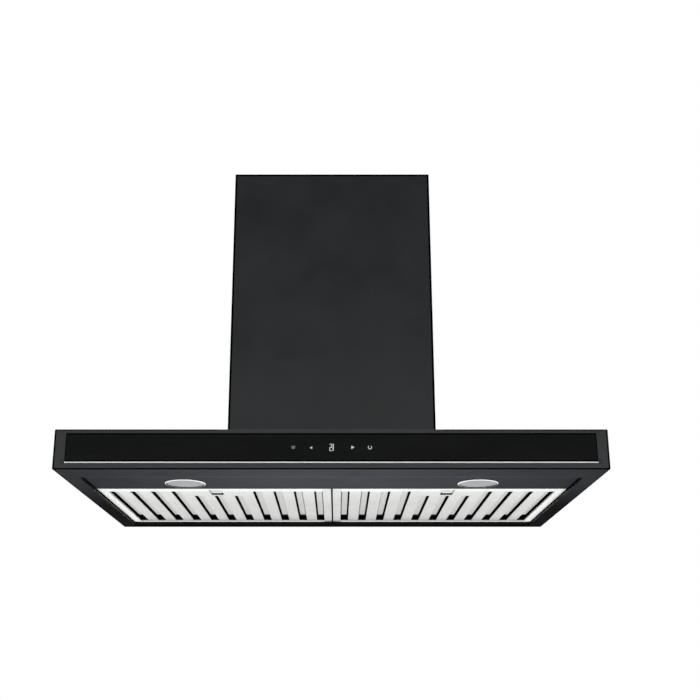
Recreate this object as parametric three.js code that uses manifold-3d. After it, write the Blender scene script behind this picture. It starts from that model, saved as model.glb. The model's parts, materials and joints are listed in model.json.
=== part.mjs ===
// Island range hood: a flat box canopy with two baffle filters, hung from a ceiling plate by a
// telescopic frame inside a two-part rectangular chimney. Millimetres, +Z up, front faces -Y.
// The origin is the middle of the ceiling plate's top face. The canopy's own heights are measured
// upwards from a level RIM_DROP above its rim's underside, and its group is lowered into place.
import * as THREE from "three";
import { mergeVertices } from "three/addons/utils/BufferGeometryUtils.js";
import Module from "manifold-3d";

const wasm = await Module();
wasm.setup();

// ---- driving dimensions ----
const WIDTH = 900; // canopy, left to right
const DEPTH = 600; // canopy, front to rear
const CANOPY_HEIGHT = 66.5;
const RIM_DROP = 2; // the rim hangs this far below the level that the canopy is measured from
const CANOPY_TOP = CANOPY_HEIGHT - RIM_DROP;
const CHIMNEY_WIDTH = 370;
const CHIMNEY_DEPTH = 300;
const CHIMNEY_HEIGHT = 541.5; // with the telescopic frame pushed up
const SHEET = 1.5; // canopy steel
const THIN_SHEET = 1.2; // chimney and blower steel
const GAP = 0.3; // play between neighbours

const RIM_SIDE = 28.5; // flat rim under the canopy, at the sides and the rear
const RIM_FRONT = 65;
const PAN_Z = 4; // underside of the recessed pan above the rim
const GLASS_MARGIN = 19.5; // painted frame beside the glass
const GLASS_TOP = 57.6;
const GLASS_BOTTOM = 11.2;
const STRIP_BOTTOM = 7.8;
const STRIP_OVERHANG = 5.5; // the strip runs this far past the glass at each end
const LAMP_X = 255;
const LAMP_SETBACK = 144; // from the canopy's front to the lamps' centres
const LAMP_RADIUS = 35.5;
const FILTER_SETBACK = 198; // from the canopy's front to the filters' front edge
const FILTER_GAP = 2; // between the two filters
const GAPS = 11; // air gaps in one filter
const GAP_PITCH = 37.3;
const GAP_WIDTH = 15.8;
const UPPER_SLAT_WIDTH = 12.4;
const UPPER_SLAT_RISE = 3.7; // from the lower slats' face to the upper slats' face
const LATCH_ZONE = 75; // the middle gaps start this far behind the filter's front edge
const BOX_WIDTH = 310; // blower box
const BOX_DEPTH = 236;
const BOX_TOP = 285;
const INTAKE_X = 150; // half the air intake in the canopy's top
const INTAKE_Y = 112;
const FAN_Y = 32;
const FAN_Z = 175;
const WHEEL_RADIUS = 62;
const WHEEL_HALF = 54; // half the impeller's length
const SCROLL_START = 70; // scroll radius at the tongue
const SCROLL_END = 97; // scroll radius where the outlet begins
const SCROLL_HALF = 60;
const BLADES = 18;
const BLADE_LEAN = 28; // degrees, forward
const COLLAR_RADIUS = 75; // for a 150 mm duct
const COLLAR_TOP = 340;
const FLAP_PIN_Z = 318;
const DUCT_HOLE_RADIUS = 85;

const HALF_W = WIDTH / 2;
const HALF_D = DEPTH / 2;
const RIM_X = HALF_W - RIM_SIDE; // edges of the opening inside the rim
const RIM_Y0 = -HALF_D + RIM_FRONT;
const RIM_Y1 = HALF_D - RIM_SIDE;
const SMOOTH = 32; // sides of a large round
const COARSE = 16; // sides of a small round

// ---- materials ----
function finish(color, roughness, metalness) {
  return new THREE.MeshStandardMaterial({ color, roughness, metalness });
}
const blackPaint = finish(0x26282a, 0.35, 0.2);
const blackGlass = finish(0x101112, 0.05, 0.0);
const polished = finish(0xe6e6e4, 0.12, 1.0);
const stainless = finish(0xdcdcd8, 0.28, 1.0);
const zinc = finish(0xa9adaf, 0.45, 0.9);
const lensGlass = finish(0xb9bcbc, 0.3, 0.0);
const blackPlastic = finish(0x1c1c1d, 0.55, 0.0);
const greyPlastic = finish(0x8e9193, 0.5, 0.0);
const boardGreen = finish(0x1f4a35, 0.5, 0.0);
const motorGrey = finish(0x6d7072, 0.4, 0.7);
const cableGrey = finish(0x4a4b4d, 0.6, 0.0);

// ---- solids ----
// A closed geometry as a solid. Triangles that close to nothing at a pole are dropped.
function solidOf(geometry) {
  const bare = new THREE.BufferGeometry();
  bare.setAttribute("position", geometry.getAttribute("position"));
  bare.setIndex(geometry.index);
  const merged = mergeVertices(bare, 1e-4);
  const kept = [];
  const index = merged.index.array;
  for (let i = 0; i < index.length; i += 3) {
    const [a, b, c] = index.slice(i, i + 3);
    if (a !== b && b !== c && c !== a) kept.push(a, b, c);
  }
  return new wasm.Manifold(
    new wasm.Mesh({
      numProp: 3,
      vertProperties: merged.attributes.position.array,
      triVerts: new Uint32Array(kept),
    }),
  );
}

function geometryOf(solid) {
  const made = solid.getMesh();
  const geometry = new THREE.BufferGeometry();
  geometry.setAttribute("position", new THREE.BufferAttribute(made.vertProperties, 3));
  geometry.setIndex(new THREE.BufferAttribute(made.triVerts, 1));
  return geometry;
}

function unite(first, ...others) {
  return others.reduce((sum, other) => sum.add(other), first);
}

function cut(body, ...tools) {
  return tools.reduce((left, tool) => left.subtract(tool), body);
}

function block([x0, x1], [y0, y1], [z0, z1]) {
  const geometry = new THREE.BoxGeometry(x1 - x0, y1 - y0, z1 - z0);
  geometry.translate((x0 + x1) / 2, (y0 + y1) / 2, (z0 + z1) / 2);
  return solidOf(geometry);
}

// A block centred on x = 0 and y = 0.
function middleBlock(halfX, halfY, z) {
  return block([-halfX, halfX], [-halfY, halfY], z);
}

// Turns a shape's own axis, +Y as three.js lathes and cylinders have it, onto X or Z.
function alongAxis(geometry, axis) {
  if (axis === "x") geometry.rotateZ(-Math.PI / 2);
  if (axis === "z") geometry.rotateX(Math.PI / 2);
  return geometry;
}

function rod(radius, [from, to], axis, [x, y, z], sides = COARSE) {
  const geometry = new THREE.CylinderGeometry(radius, radius, to - from, sides);
  geometry.translate(0, (from + to) / 2, 0);
  alongAxis(geometry, axis);
  geometry.translate(x, y, z);
  return solidOf(geometry);
}

// A turned solid. The profile lists [radius, distance along the axis] and closes on itself.
function turned(profile, axis, [x, y, z], sides = SMOOTH) {
  const points = profile.map(([r, h]) => new THREE.Vector2(r, h));
  if (THREE.ShapeUtils.area(points) < 0) points.reverse();
  const geometry = new THREE.LatheGeometry([...points, points[0].clone()], sides);
  alongAxis(geometry, axis);
  geometry.translate(x, y, z);
  return solidOf(geometry);
}

// A flat outline in the Y-Z plane, pushed along X.
function pushedAlongX(shape, [x0, x1]) {
  const geometry = new THREE.ExtrudeGeometry(shape, { depth: x1 - x0, bevelEnabled: false });
  const yzToXy = new THREE.Matrix4().makeBasis(
    new THREE.Vector3(0, 1, 0),
    new THREE.Vector3(0, 0, 1),
    new THREE.Vector3(1, 0, 0),
  );
  geometry.applyMatrix4(yzToXy);
  geometry.translate(x0, 0, 0);
  return solidOf(geometry);
}

// A round lead or wire along a smooth curve through the points.
function lead(points, radius, steps, sides = 8) {
  const path = new THREE.CatmullRomCurve3(points.map((p) => new THREE.Vector3(...p)));
  const section = new THREE.Shape();
  for (let i = 0; i < sides; i++) {
    const turn = (2 * Math.PI * i) / sides;
    const at = [radius * Math.cos(turn), radius * Math.sin(turn)];
    if (i === 0) section.moveTo(...at);
    else section.lineTo(...at);
  }
  return solidOf(new THREE.ExtrudeGeometry(section, { steps, extrudePath: path }));
}

// ---- the two groups: what hangs from the ceiling, and what slides down with the canopy ----
const hood = new THREE.Group();
const ceiling = new THREE.Group();
const canopy = new THREE.Group();
canopy.position.z = -(CANOPY_TOP + CHIMNEY_HEIGHT);
hood.add(ceiling, canopy);

function place(group, name, solid, material) {
  const mesh = new THREE.Mesh(geometryOf(solid), material);
  mesh.name = name;
  group.add(mesh);
}

const SIDES = [
  ["left", -1],
  ["right", 1],
];
const ENDS = [
  ["front", -1],
  ["rear", 1],
];

// Both orders of a pair of limits, so that a mirrored range still runs upwards.
function mirrored(side, from, to) {
  return side > 0 ? [from, to] : [-to, -from];
}

// ---- telescopic frame and chimney ----
const UPPER_X = CHIMNEY_WIDTH / 2 - 2.2; // the upper cover slides 1 mm inside the lower one
const UPPER_Y = CHIMNEY_DEPTH / 2 - 2.2;
const UPPER_LENGTH = 500;
const LEG_WIDTH = 25;
const LEG_SHEET = 2;
const LOWER_LEG_INSET = 1.3; // from the upper cover's inner face
const LOWER_LEG_TOP = 576;
const PLATE_SHEET = 3;
const PLATE_FLANGE = 25;
const KEYHOLE_X = 140; // ceiling screws, from the middle
const KEYHOLE_Y = 105;
const KEYHOLE_RADIUS = 5.5;
const KEYHOLE_NECK = 3; // half the slot's width
const KEYHOLE_LENGTH = 14;
const SUPPLY_HOLE_RADIUS = 9;
const SUPPLY_HOLE_X = 120;
const BRACE_Z = [-290, -265];

// A four-sided tube of folded sheet.
function cover(halfX, halfY, z) {
  const inside = middleBlock(halfX - THIN_SHEET, halfY - THIN_SHEET, [z[0] - 1, z[1] + 1]);
  return cut(middleBlock(halfX, halfY, z), inside);
}

// An L-section leg whose outer corner stands at the given distances from the middle.
function leg(sideX, sideY, cornerX, cornerY, z) {
  const alongX = block(
    mirrored(sideX, cornerX - LEG_WIDTH, cornerX),
    mirrored(sideY, cornerY - LEG_SHEET, cornerY),
    z,
  );
  const alongY = block(
    mirrored(sideX, cornerX - LEG_SHEET, cornerX),
    mirrored(sideY, cornerY - LEG_WIDTH, cornerY),
    z,
  );
  return unite(alongX, alongY);
}

function makeCeilingPlate() {
  const x = UPPER_X - THIN_SHEET - GAP;
  const y = UPPER_Y - THIN_SHEET - GAP;
  const tray = cut(
    middleBlock(x, y, [-PLATE_FLANGE, 0]),
    middleBlock(x - PLATE_SHEET, y - PLATE_SHEET, [-PLATE_FLANGE - 1, -PLATE_SHEET]),
    rod(DUCT_HOLE_RADIUS, [-10, 10], "z", [0, 0, 0], SMOOTH),
  );
  // Keyhole slots for the four ceiling screws, and a hole for the supply cable.
  const slots = [];
  for (const [, sx] of SIDES) {
    for (const [, sy] of ENDS) {
      const [x0, y0] = [sx * KEYHOLE_X, sy * KEYHOLE_Y];
      slots.push(rod(KEYHOLE_RADIUS, [-10, 10], "z", [x0, y0, 0]));
      slots.push(
        block([x0 - KEYHOLE_NECK, x0 + KEYHOLE_NECK], [y0, y0 + KEYHOLE_LENGTH], [-10, 10]),
      );
    }
  }
  const supplyHole = rod(SUPPLY_HOLE_RADIUS, [-10, 10], "z", [SUPPLY_HOLE_X, 0, 0]);
  return cut(tray, ...slots, supplyHole);
}

function makeTelescope() {
  place(ceiling, "ceiling_plate", makeCeilingPlate(), zinc);
  place(ceiling, "upper_chimney", cover(UPPER_X, UPPER_Y, [-UPPER_LENGTH, -1]), blackPaint);
  const lowerChimney = cover(
    CHIMNEY_WIDTH / 2,
    CHIMNEY_DEPTH / 2,
    [CANOPY_TOP + GAP, CANOPY_TOP + CHIMNEY_HEIGHT - 1],
  );
  place(canopy, "lower_chimney", lowerChimney, blackPaint);

  const lowerX = UPPER_X - THIN_SHEET - LOWER_LEG_INSET;
  const lowerY = UPPER_Y - THIN_SHEET - LOWER_LEG_INSET;
  const upperX = lowerX - LEG_SHEET - GAP; // the upper legs nest inside the lower ones
  const upperY = lowerY - LEG_SHEET - GAP;
  for (const [endName, sy] of ENDS) {
    for (const [sideName, sx] of SIDES) {
      const where = endName + "_" + sideName;
      const upperZ = [-UPPER_LENGTH, -PLATE_SHEET - GAP];
      const lowerZ = [CANOPY_TOP + GAP, LOWER_LEG_TOP];
      place(ceiling, "upper_leg_" + where, leg(sx, sy, upperX, upperY, upperZ), zinc);
      place(canopy, "lower_leg_" + where, leg(sx, sy, lowerX, lowerY, lowerZ), zinc);
    }
    const braceY = upperY - LEG_SHEET - GAP;
    const brace = block(
      [-(upperX - LEG_SHEET - GAP), upperX - LEG_SHEET - GAP],
      mirrored(sy, braceY - LEG_SHEET, braceY),
      BRACE_Z,
    );
    place(ceiling, "upper_brace_" + endName, brace, zinc);
  }
}

// ---- canopy ----
const GLASS_X = HALF_W - GLASS_MARGIN;
const STRIP_X = GLASS_X + STRIP_OVERHANG;
const GLASS_SHEET = 4;
const TRAY_BACK = -HALF_D + GLASS_SHEET + GAP; // front face of the tray behind the glass
const HOOK = 6.5; // the strip's ends turn up this far
const STRIP_TOP = GLASS_BOTTOM - GAP;
const HOOK_WIDTH = 3;
const GLAND_AT = [60, -139.4];
const GLAND_HOLE_RADIUS = 6.4;
const BOARD_HALF = 80; // half the touch board's width
const BOARD_Z = [22, 44];

// The slot that the strip and its hooks fill, larger by the play on every side.
function stripSolid(grow, y) {
  const bar = block([-STRIP_X - grow, STRIP_X + grow], y, [STRIP_BOTTOM - grow, STRIP_TOP + grow]);
  const hooks = SIDES.map(([, s]) =>
    block(
      mirrored(s, STRIP_X - HOOK_WIDTH - grow, STRIP_X + grow),
      y,
      [STRIP_BOTTOM - grow, STRIP_BOTTOM + HOOK + grow],
    ),
  );
  return unite(bar, ...hooks);
}

function makeCanopyShell() {
  const front = -HALF_D;
  const bottom = -RIM_DROP;
  const outside = middleBlock(HALF_W, HALF_D, [bottom, CANOPY_TOP]);
  const insideZ = [bottom + SHEET, CANOPY_TOP - SHEET];
  const inside = middleBlock(HALF_W - SHEET, HALF_D - SHEET, insideZ);
  const mouth = block([-RIM_X, RIM_X], [RIM_Y0, RIM_Y1], [bottom - 1, bottom + SHEET + 1]);
  const lipTop = PAN_Z - GAP;
  const lip = cut(
    block([-RIM_X - SHEET, RIM_X + SHEET], [RIM_Y0 - SHEET, RIM_Y1 + SHEET], [bottom, lipTop]),
    block([-RIM_X, RIM_X], [RIM_Y0, RIM_Y1], [bottom - 1, PAN_Z + 1]),
  );
  const tray = block(
    [-STRIP_X - SHEET - 1, STRIP_X + SHEET + 1],
    [front + 0.1, TRAY_BACK + SHEET],
    [STRIP_BOTTOM - SHEET - 1, GLASS_TOP + SHEET + GAP],
  );
  const pocket = block(
    [-STRIP_X - 1, STRIP_X + 1],
    [front + SHEET, TRAY_BACK],
    [STRIP_BOTTOM - 1, GLASS_TOP + GAP],
  );
  const glassWindow = block(
    [-GLASS_X - GAP, GLASS_X + GAP],
    [front - 1, front + SHEET + 0.1],
    [GLASS_BOTTOM - GAP, GLASS_TOP + GAP],
  );
  const boardWindow = block(
    [-BOARD_HALF - 5, BOARD_HALF + 5],
    [TRAY_BACK - 1, TRAY_BACK + SHEET + 1],
    [BOARD_Z[0] - 2, BOARD_Z[1] + 2],
  );
  const topZ = [CANOPY_TOP - SHEET - 1, CANOPY_TOP + 1];
  return cut(
    unite(cut(outside, inside, mouth), lip, tray),
    pocket,
    glassWindow,
    stripSolid(GAP, [front - 1, front + SHEET + 0.1]),
    boardWindow,
    middleBlock(INTAKE_X, INTAKE_Y, topZ),
    rod(GLAND_HOLE_RADIUS, [-5, 5], "z", [...GLAND_AT, CANOPY_TOP]),
  );
}

// The sheet inside the rim that carries the lamps and frames the filters.
const PAN_X = RIM_X + 11.7;
const FILTER_OPENING_X = RIM_X + 0.5;
const FILTER_OPENING_Y0 = -HALF_D + FILTER_SETBACK - 1;
const FILTER_OPENING_Y1 = RIM_Y1 - 0.1;
const LAMP_HOLE_RADIUS = 31;

function makeLightPan() {
  const lampY = -HALF_D + LAMP_SETBACK;
  return cut(
    block([-PAN_X, PAN_X], [RIM_Y0 - 12, RIM_Y1 + 11.7], [PAN_Z, PAN_Z + SHEET]),
    block(
      [-FILTER_OPENING_X, FILTER_OPENING_X],
      [FILTER_OPENING_Y0, FILTER_OPENING_Y1],
      [PAN_Z - 1, PAN_Z + SHEET + 1],
    ),
    ...SIDES.map(([, s]) =>
      rod(LAMP_HOLE_RADIUS, [-5, 10], "z", [s * LAMP_X, lampY, PAN_Z], SMOOTH),
    ),
  );
}

function makeControls() {
  const front = -HALF_D;
  const glass = block(
    [-GLASS_X, GLASS_X],
    [front, front + GLASS_SHEET],
    [GLASS_BOTTOM, GLASS_TOP],
  );
  place(canopy, "glass_panel", glass, blackGlass);
  place(canopy, "trim_strip", stripSolid(0, [front, front + SHEET - 0.1]), polished);

  const boardY = front + GLASS_SHEET + GAP;
  const board = unite(
    block([-BOARD_HALF, BOARD_HALF], [boardY, boardY + 1.6], BOARD_Z),
    block([-14, 14], [boardY + 1.5, boardY + 5], [27, 39]), // chip
    block([-40, -24], [boardY + 1.5, boardY + 4], [29, 37]), // socket of the lead
  );
  place(canopy, "touch_board", board, boardGreen);
}

const CONTROL_X = 90;
const CONTROL_Y = [-284, -205];
const CONTROL_Z = [PAN_Z + SHEET + GAP, 46];
const CONTROL_WALL = 2;
const TERMINAL_X = [-70, -60, -50]; // the three ways of the terminal block

function makeControlBox() {
  const [y0, y1] = CONTROL_Y;
  const [z0, z1] = CONTROL_Z;
  const wall = CONTROL_WALL;
  const tray = cut(
    block([-CONTROL_X, CONTROL_X], [y0, y1], [z0, z1]),
    block([-CONTROL_X + wall, CONTROL_X - wall], [y0 + wall, y1 - wall], [z0 + wall, z1 + 1]),
  );
  place(canopy, "control_box", tray, blackPlastic);

  const lid = cut(
    block([-CONTROL_X - 2, CONTROL_X + 2], [y0 - 2, y1 + 2], [z1 - 6, z1 + 2]),
    block([-CONTROL_X - GAP, CONTROL_X + GAP], [y0 - GAP, y1 + GAP], [z1 - 7, z1 + GAP]),
  );
  place(canopy, "control_box_cover", lid, blackPlastic);

  const terminals = block([-78, -42], [y0 + 20, y0 + 38], [z0 + wall + GAP, z0 + 18]);
  const ways = TERMINAL_X.map((x) => rod(2.6, [y0, y0 + 60], "y", [x, 0, z0 + 8], 8));
  const screws = TERMINAL_X.map((x) => rod(2.2, [z0 + 10, z0 + 30], "z", [x, y0 + 29, 0], 8));
  place(canopy, "terminal_block", cut(terminals, ...ways, ...screws), greyPlastic);

  const top = CANOPY_TOP;
  const gland = turned(
    [
      [3.2, top - 7],
      [8.4, top - 7],
      [8.4, top - SHEET - GAP],
      [6, top - SHEET - GAP],
      [6, top + GAP],
      [8.4, top + GAP],
      [8.4, top + 7],
      [7, top + 9],
      [5.5, top + 15],
      [3.2, top + 16],
    ],
    "z",
    [...GLAND_AT, 0],
    8,
  );
  place(canopy, "cable_gland", gland, blackPlastic);
}

function makeLamps() {
  const lampY = -HALF_D + LAMP_SETBACK;
  for (const [name, s] of SIDES) {
    const at = [s * LAMP_X, lampY, 0];
    const bezel = turned(
      [
        [29, 3.2],
        [30.5, 2.3],
        [33.5, 2],
        [LAMP_RADIUS, 3],
        [LAMP_RADIUS, PAN_Z - GAP],
        [30.6, PAN_Z - GAP],
        [30.6, 14],
        [29, 14],
      ],
      "z",
      at,
    );
    const lens = turned(
      [
        [0, 2.6],
        [12, 2.75],
        [22, 3.2],
        [28.6, 4],
        [28.6, 7],
        [0, 7],
      ],
      "z",
      at,
    );
    const housing = turned(
      [
        [31.8, 6],
        [37, 6],
        [37, 7.5],
        [33.5, 7.5],
        [33.5, 26],
        [30, 28],
        [0, 28],
        [0, 26.5],
        [31.8, 26.5],
      ],
      "z",
      at,
    );
    place(canopy, "lamp_bezel_" + name, bezel, polished);
    place(canopy, "lamp_lens_" + name, lens, lensGlass);
    place(canopy, "lamp_housing_" + name, housing, zinc);
  }
}

// ---- blower ----
// The scroll's wall: a spiral from the tongue round the rear and the bottom to the front, then
// straight up to the outlet. The offset moves the outline outwards.
const TONGUE_TURN = 100;
const OUTLET_TURN = -180;

function scrollOutline(offset, top) {
  const outline = new THREE.Shape();
  const tongueY = FAN_Y + SCROLL_START * Math.cos(THREE.MathUtils.degToRad(TONGUE_TURN));
  outline.moveTo(tongueY + offset, top);
  const steps = 40;
  for (let i = 0; i <= steps; i++) {
    const share = i / steps;
    const turn = THREE.MathUtils.degToRad(TONGUE_TURN + share * (OUTLET_TURN - TONGUE_TURN));
    const radius = SCROLL_START + share * (SCROLL_END - SCROLL_START) + offset;
    outline.lineTo(FAN_Y + radius * Math.cos(turn), FAN_Z + radius * Math.sin(turn));
  }
  outline.lineTo(FAN_Y - SCROLL_END - offset, top);
  return outline;
}

function makeScrollHalf(side) {
  const top = BOX_TOP - THIN_SHEET - GAP;
  const shellX = mirrored(side, GAP / 2, SCROLL_HALF);
  const airX = mirrored(side, -1, SCROLL_HALF - 2);
  return cut(
    pushedAlongX(scrollOutline(1.8, top), shellX),
    pushedAlongX(scrollOutline(0, top + 5), airX),
    rod(58, [-SCROLL_HALF - 5, SCROLL_HALF + 5], "x", [0, FAN_Y, FAN_Z], SMOOTH),
  );
}

function makeInletRing(side) {
  const lip = [
    [56, 56.5],
    [57.6, 56.5],
    [57.6, SCROLL_HALF + GAP],
    [72, SCROLL_HALF + GAP],
    [72, SCROLL_HALF + 1.8],
    [62, SCROLL_HALF + 1.8],
    [58.5, SCROLL_HALF + 3.5],
    [56.5, SCROLL_HALF + 6],
    [55.4, SCROLL_HALF + 5],
  ];
  const profile = lip.map(([r, x]) => [r, side * x]);
  return turned(profile, "x", [0, FAN_Y, FAN_Z], 24);
}

function makeImpeller() {
  const at = [0, FAN_Y, FAN_Z];
  const ring = (from, to) =>
    cut(
      rod(WHEEL_RADIUS, [from, to], "x", at, 24),
      rod(WHEEL_RADIUS - 11, [from - 1, to + 1], "x", at, 24),
    );
  const disc = unite(
    rod(WHEEL_RADIUS, [-1.2, 1.2], "x", at, 24),
    rod(12, [-7, 9], "x", at),
    ring(-WHEEL_HALF, -WHEEL_HALF + 2),
    ring(WHEEL_HALF - 2, WHEEL_HALF),
  );
  const blades = [];
  for (let i = 0; i < BLADES; i++) {
    const blade = new THREE.BoxGeometry(2 * WHEEL_HALF - 1, 1.2, 9);
    blade.rotateX(THREE.MathUtils.degToRad(BLADE_LEAN));
    blade.translate(0, 0, WHEEL_RADIUS - 5.5);
    blade.rotateX((2 * Math.PI * i) / BLADES);
    blade.translate(...at);
    blades.push(solidOf(blade));
  }
  return cut(unite(disc, ...blades), rod(4.05, [-20, 20], "x", at));
}

function makeMotor() {
  const outline = [
    [0, -86],
    [36, -86],
    [42, -80],
    [42, -70.6],
    [46, -70.6],
    [46, -68.4],
    [42, -68.4],
    [42, -14],
    [36, -10],
    [4.3, -10],
    [4.3, -32],
    [0, -32],
  ];
  return turned(outline, "x", [0, FAN_Y, FAN_Z], 24);
}

const BRACKET_TURNS = [110, -10, -130]; // degrees round the shaft

// A ring behind the motor's flange with three arms that stand on the scroll's side.
function makeMotorBracket() {
  const at = [0, FAN_Y, FAN_Z];
  const plateX = [-74, -71];
  const arms = BRACKET_TURNS.map((turn) => {
    const arm = new THREE.BoxGeometry(3, 34, 12);
    arm.translate(-72.5, 62.5, 0);
    const foot = new THREE.BoxGeometry(13.7, 3, 12);
    foot.translate(-67.15, 78, 0);
    return unite(
      ...[arm, foot].map((piece) => {
        piece.rotateX(THREE.MathUtils.degToRad(turn));
        piece.translate(...at);
        return solidOf(piece);
      }),
    );
  });
  return cut(unite(rod(52, plateX, "x", at, 24), ...arms), rod(43, [-80, -65], "x", at, 24));
}

function makeOutletCollar() {
  const collar = turned(
    [
      [COLLAR_RADIUS - 1.2, BOX_TOP + GAP],
      [COLLAR_RADIUS + 11, BOX_TOP + GAP],
      [COLLAR_RADIUS + 11, BOX_TOP + GAP + 1.2],
      [COLLAR_RADIUS, BOX_TOP + GAP + 1.2],
      [COLLAR_RADIUS, COLLAR_TOP],
      [COLLAR_RADIUS - 1.2, COLLAR_TOP],
    ],
    "z",
    [0, 0, 0],
  );
  return cut(collar, rod(2.4, [-90, 90], "x", [0, 0, FLAP_PIN_Z], 12));
}

// One half-moon flap. Its knuckles turn on the pin, and it is notched round the other flap's.
const KNUCKLES = { front: [-52, 24], rear: [-28, 48] }; // where each knuckle begins
const KNUCKLE_LENGTH = 20;

function makeFlap(end, side) {
  const other = side < 0 ? "rear" : "front";
  const pinAt = [0, 0, FLAP_PIN_Z];
  const plateZ = [FLAP_PIN_Z - 4, FLAP_PIN_Z - 3];
  const plate = cut(
    rod(72, [plateZ[0], plateZ[1]], "z", [0, 0, 0], SMOOTH),
    block([-80, 80], side < 0 ? [-0.5, 80] : [-80, 0.5], [FLAP_PIN_Z - 10, FLAP_PIN_Z]),
    ...KNUCKLES[other].map((x) =>
      block([x - 0.6, x + KNUCKLE_LENGTH + 0.6], [-4.8, 4.8], [FLAP_PIN_Z - 10, FLAP_PIN_Z]),
    ),
  );
  const tubes = KNUCKLES[end].map((x) => rod(4, [x, x + KNUCKLE_LENGTH], "x", pinAt, 12));
  return cut(unite(plate, ...tubes), rod(2.4, [-90, 90], "x", pinAt, 12));
}

function makeBlower() {
  const wallX = BOX_WIDTH / 2;
  const wallY = BOX_DEPTH / 2;
  const base = CANOPY_TOP + GAP;
  const box = cut(
    unite(
      middleBlock(wallX, wallY, [base, BOX_TOP]),
      middleBlock(wallX + 12, wallY + 12, [base, base + THIN_SHEET]),
    ),
    middleBlock(wallX - THIN_SHEET, wallY - THIN_SHEET, [base - 1, BOX_TOP - THIN_SHEET]),
    rod(72, [BOX_TOP - 5, BOX_TOP + 5], "z", [0, 0, 0], SMOOTH),
  );
  place(canopy, "blower_box", box, zinc);
  for (const [name, side] of SIDES) {
    place(canopy, "scroll_" + name, makeScrollHalf(side), blackPlastic);
    place(canopy, "inlet_ring_" + name, makeInletRing(side), greyPlastic);
  }
  place(canopy, "impeller", makeImpeller(), greyPlastic);
  place(canopy, "motor_shaft", rod(4, [-30, 11], "x", [0, FAN_Y, FAN_Z]), polished);
  place(canopy, "motor", makeMotor(), motorGrey);
  place(canopy, "motor_bracket", makeMotorBracket(), zinc);
  const can = [
    [0, 90],
    [14, 90],
    [16, 92],
    [16, 146],
    [14, 148],
    [0, 148],
  ];
  place(canopy, "capacitor", turned(can, "z", [122, -82, 0], 16), greyPlastic);
  place(canopy, "outlet_collar", makeOutletCollar(), blackPlastic);
  place(canopy, "flap_pin", rod(2, [-78, 78], "x", [0, 0, FLAP_PIN_Z], 12), polished);
  for (const [end, side] of ENDS) {
    place(canopy, "damper_flap_" + end, makeFlap(end, side), zinc);
  }
}

// ---- leads ----
function makeLeads() {
  const [y0, y1] = CONTROL_Y;
  const boardBack = -HALF_D + GLASS_SHEET + GAP + 4.3;
  const panelRoute = [
    [-32, boardBack, 33],
    [-32, y0 - GAP, 33],
  ];
  place(canopy, "panel_lead", lead(panelRoute, 1.5, 2, 6), cableGrey);

  const lampY = -HALF_D + LAMP_SETBACK;
  for (const [name, s] of SIDES) {
    const route = [
      [s * LAMP_X, lampY, 28 + GAP],
      [s * LAMP_X, lampY, 36],
      [s * (LAMP_X - 12), lampY - 8, 44],
      [s * (LAMP_X - 50), lampY - 30, 44],
      [s * 150, -225, 36],
      [s * 115, -240, 30],
      [s * (CONTROL_X + GAP), -240, 30],
    ];
    place(canopy, "lamp_lead_" + name, lead(route, 2.2, 20, 6), cableGrey);
  }

  const motorRoute = [
    [-60, y1 + GAP, 28],
    [-60, y1 + 25, 29],
    [-84, -150, 40],
    [-120, -115, 48],
    [-141, -101, 58],
    [-141, -98, 90],
    [-138, -70, 130],
    [-128, -10, 160],
    [-112, 24, 172],
    [-98, FAN_Y, FAN_Z],
    [-86.4, FAN_Y, FAN_Z],
  ];
  place(canopy, "motor_lead", lead(motorRoute, 2.5, 34, 6), cableGrey);
}

// ---- baffle filters ----
const FILTER_WIDTH = RIM_X - GAP - FILTER_GAP / 2;
const FILTER_X = FILTER_GAP / 2 + FILTER_WIDTH / 2; // middle of a filter
const FILTER_Y0 = -HALF_D + FILTER_SETBACK;
const FILTER_Y1 = RIM_Y1 - 2.5;
const FRAME_SHEET = 1;
const FRAME_TOP = 18;
const BORDER_FRONT = 25;
const BORDER_REAR = 23;
const BORDER_SIDE = 12;
const SLAT_Z = PAN_Z + FRAME_SHEET + GAP;
const SLAT_SHEET = 1;
const FIRST_GAP_X = -((GAPS - 1) / 2) * GAP_PITCH;
const MIDDLE_GAPS = [4, 5, 6];
const GAP_Y0 = FILTER_Y0 + BORDER_FRONT - 4; // the gaps begin and end out of sight over the border
const GAP_Y1 = FILTER_Y1 - BORDER_REAR + 4;
const LATCH_SLOT_Y = [FILTER_Y0 + 10, FILTER_Y0 + 38];

// Folded frame with a tongue at the rear that lies on the pan's edge.
function makeFilterFrame() {
  const half = FILTER_WIDTH / 2;
  const body = cut(
    block([-half, half], [FILTER_Y0, FILTER_Y1], [PAN_Z, FRAME_TOP]),
    block(
      [-half + FRAME_SHEET, half - FRAME_SHEET],
      [FILTER_Y0 + FRAME_SHEET, FILTER_Y1 - FRAME_SHEET],
      [PAN_Z + FRAME_SHEET, FRAME_TOP + 1],
    ),
    block(
      [-half + BORDER_SIDE, half - BORDER_SIDE],
      [FILTER_Y0 + BORDER_FRONT, FILTER_Y1 - BORDER_REAR],
      [PAN_Z - 1, PAN_Z + FRAME_SHEET + 1],
    ),
    block([-12.5, 12.5], [FILTER_Y0 - 1, FILTER_Y0 + BORDER_FRONT + 1], [PAN_Z + 2, PAN_Z + 7]),
    block([-11.5, 11.5], [LATCH_SLOT_Y[0], LATCH_SLOT_Y[1]], [PAN_Z - 1, PAN_Z + 2]),
  );
  const tongueZ = [PAN_Z + SHEET + GAP, PAN_Z + SHEET + GAP + 1.2];
  const tongues = [-120, 120].map((x) =>
    block([x - 30, x + 30], [FILTER_Y1 - 0.5, FILTER_Y1 + 11], tongueZ),
  );
  return unite(body, ...tongues);
}

function gapStart(number) {
  return MIDDLE_GAPS.includes(number) ? FILTER_Y0 + LATCH_ZONE : GAP_Y0;
}

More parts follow.
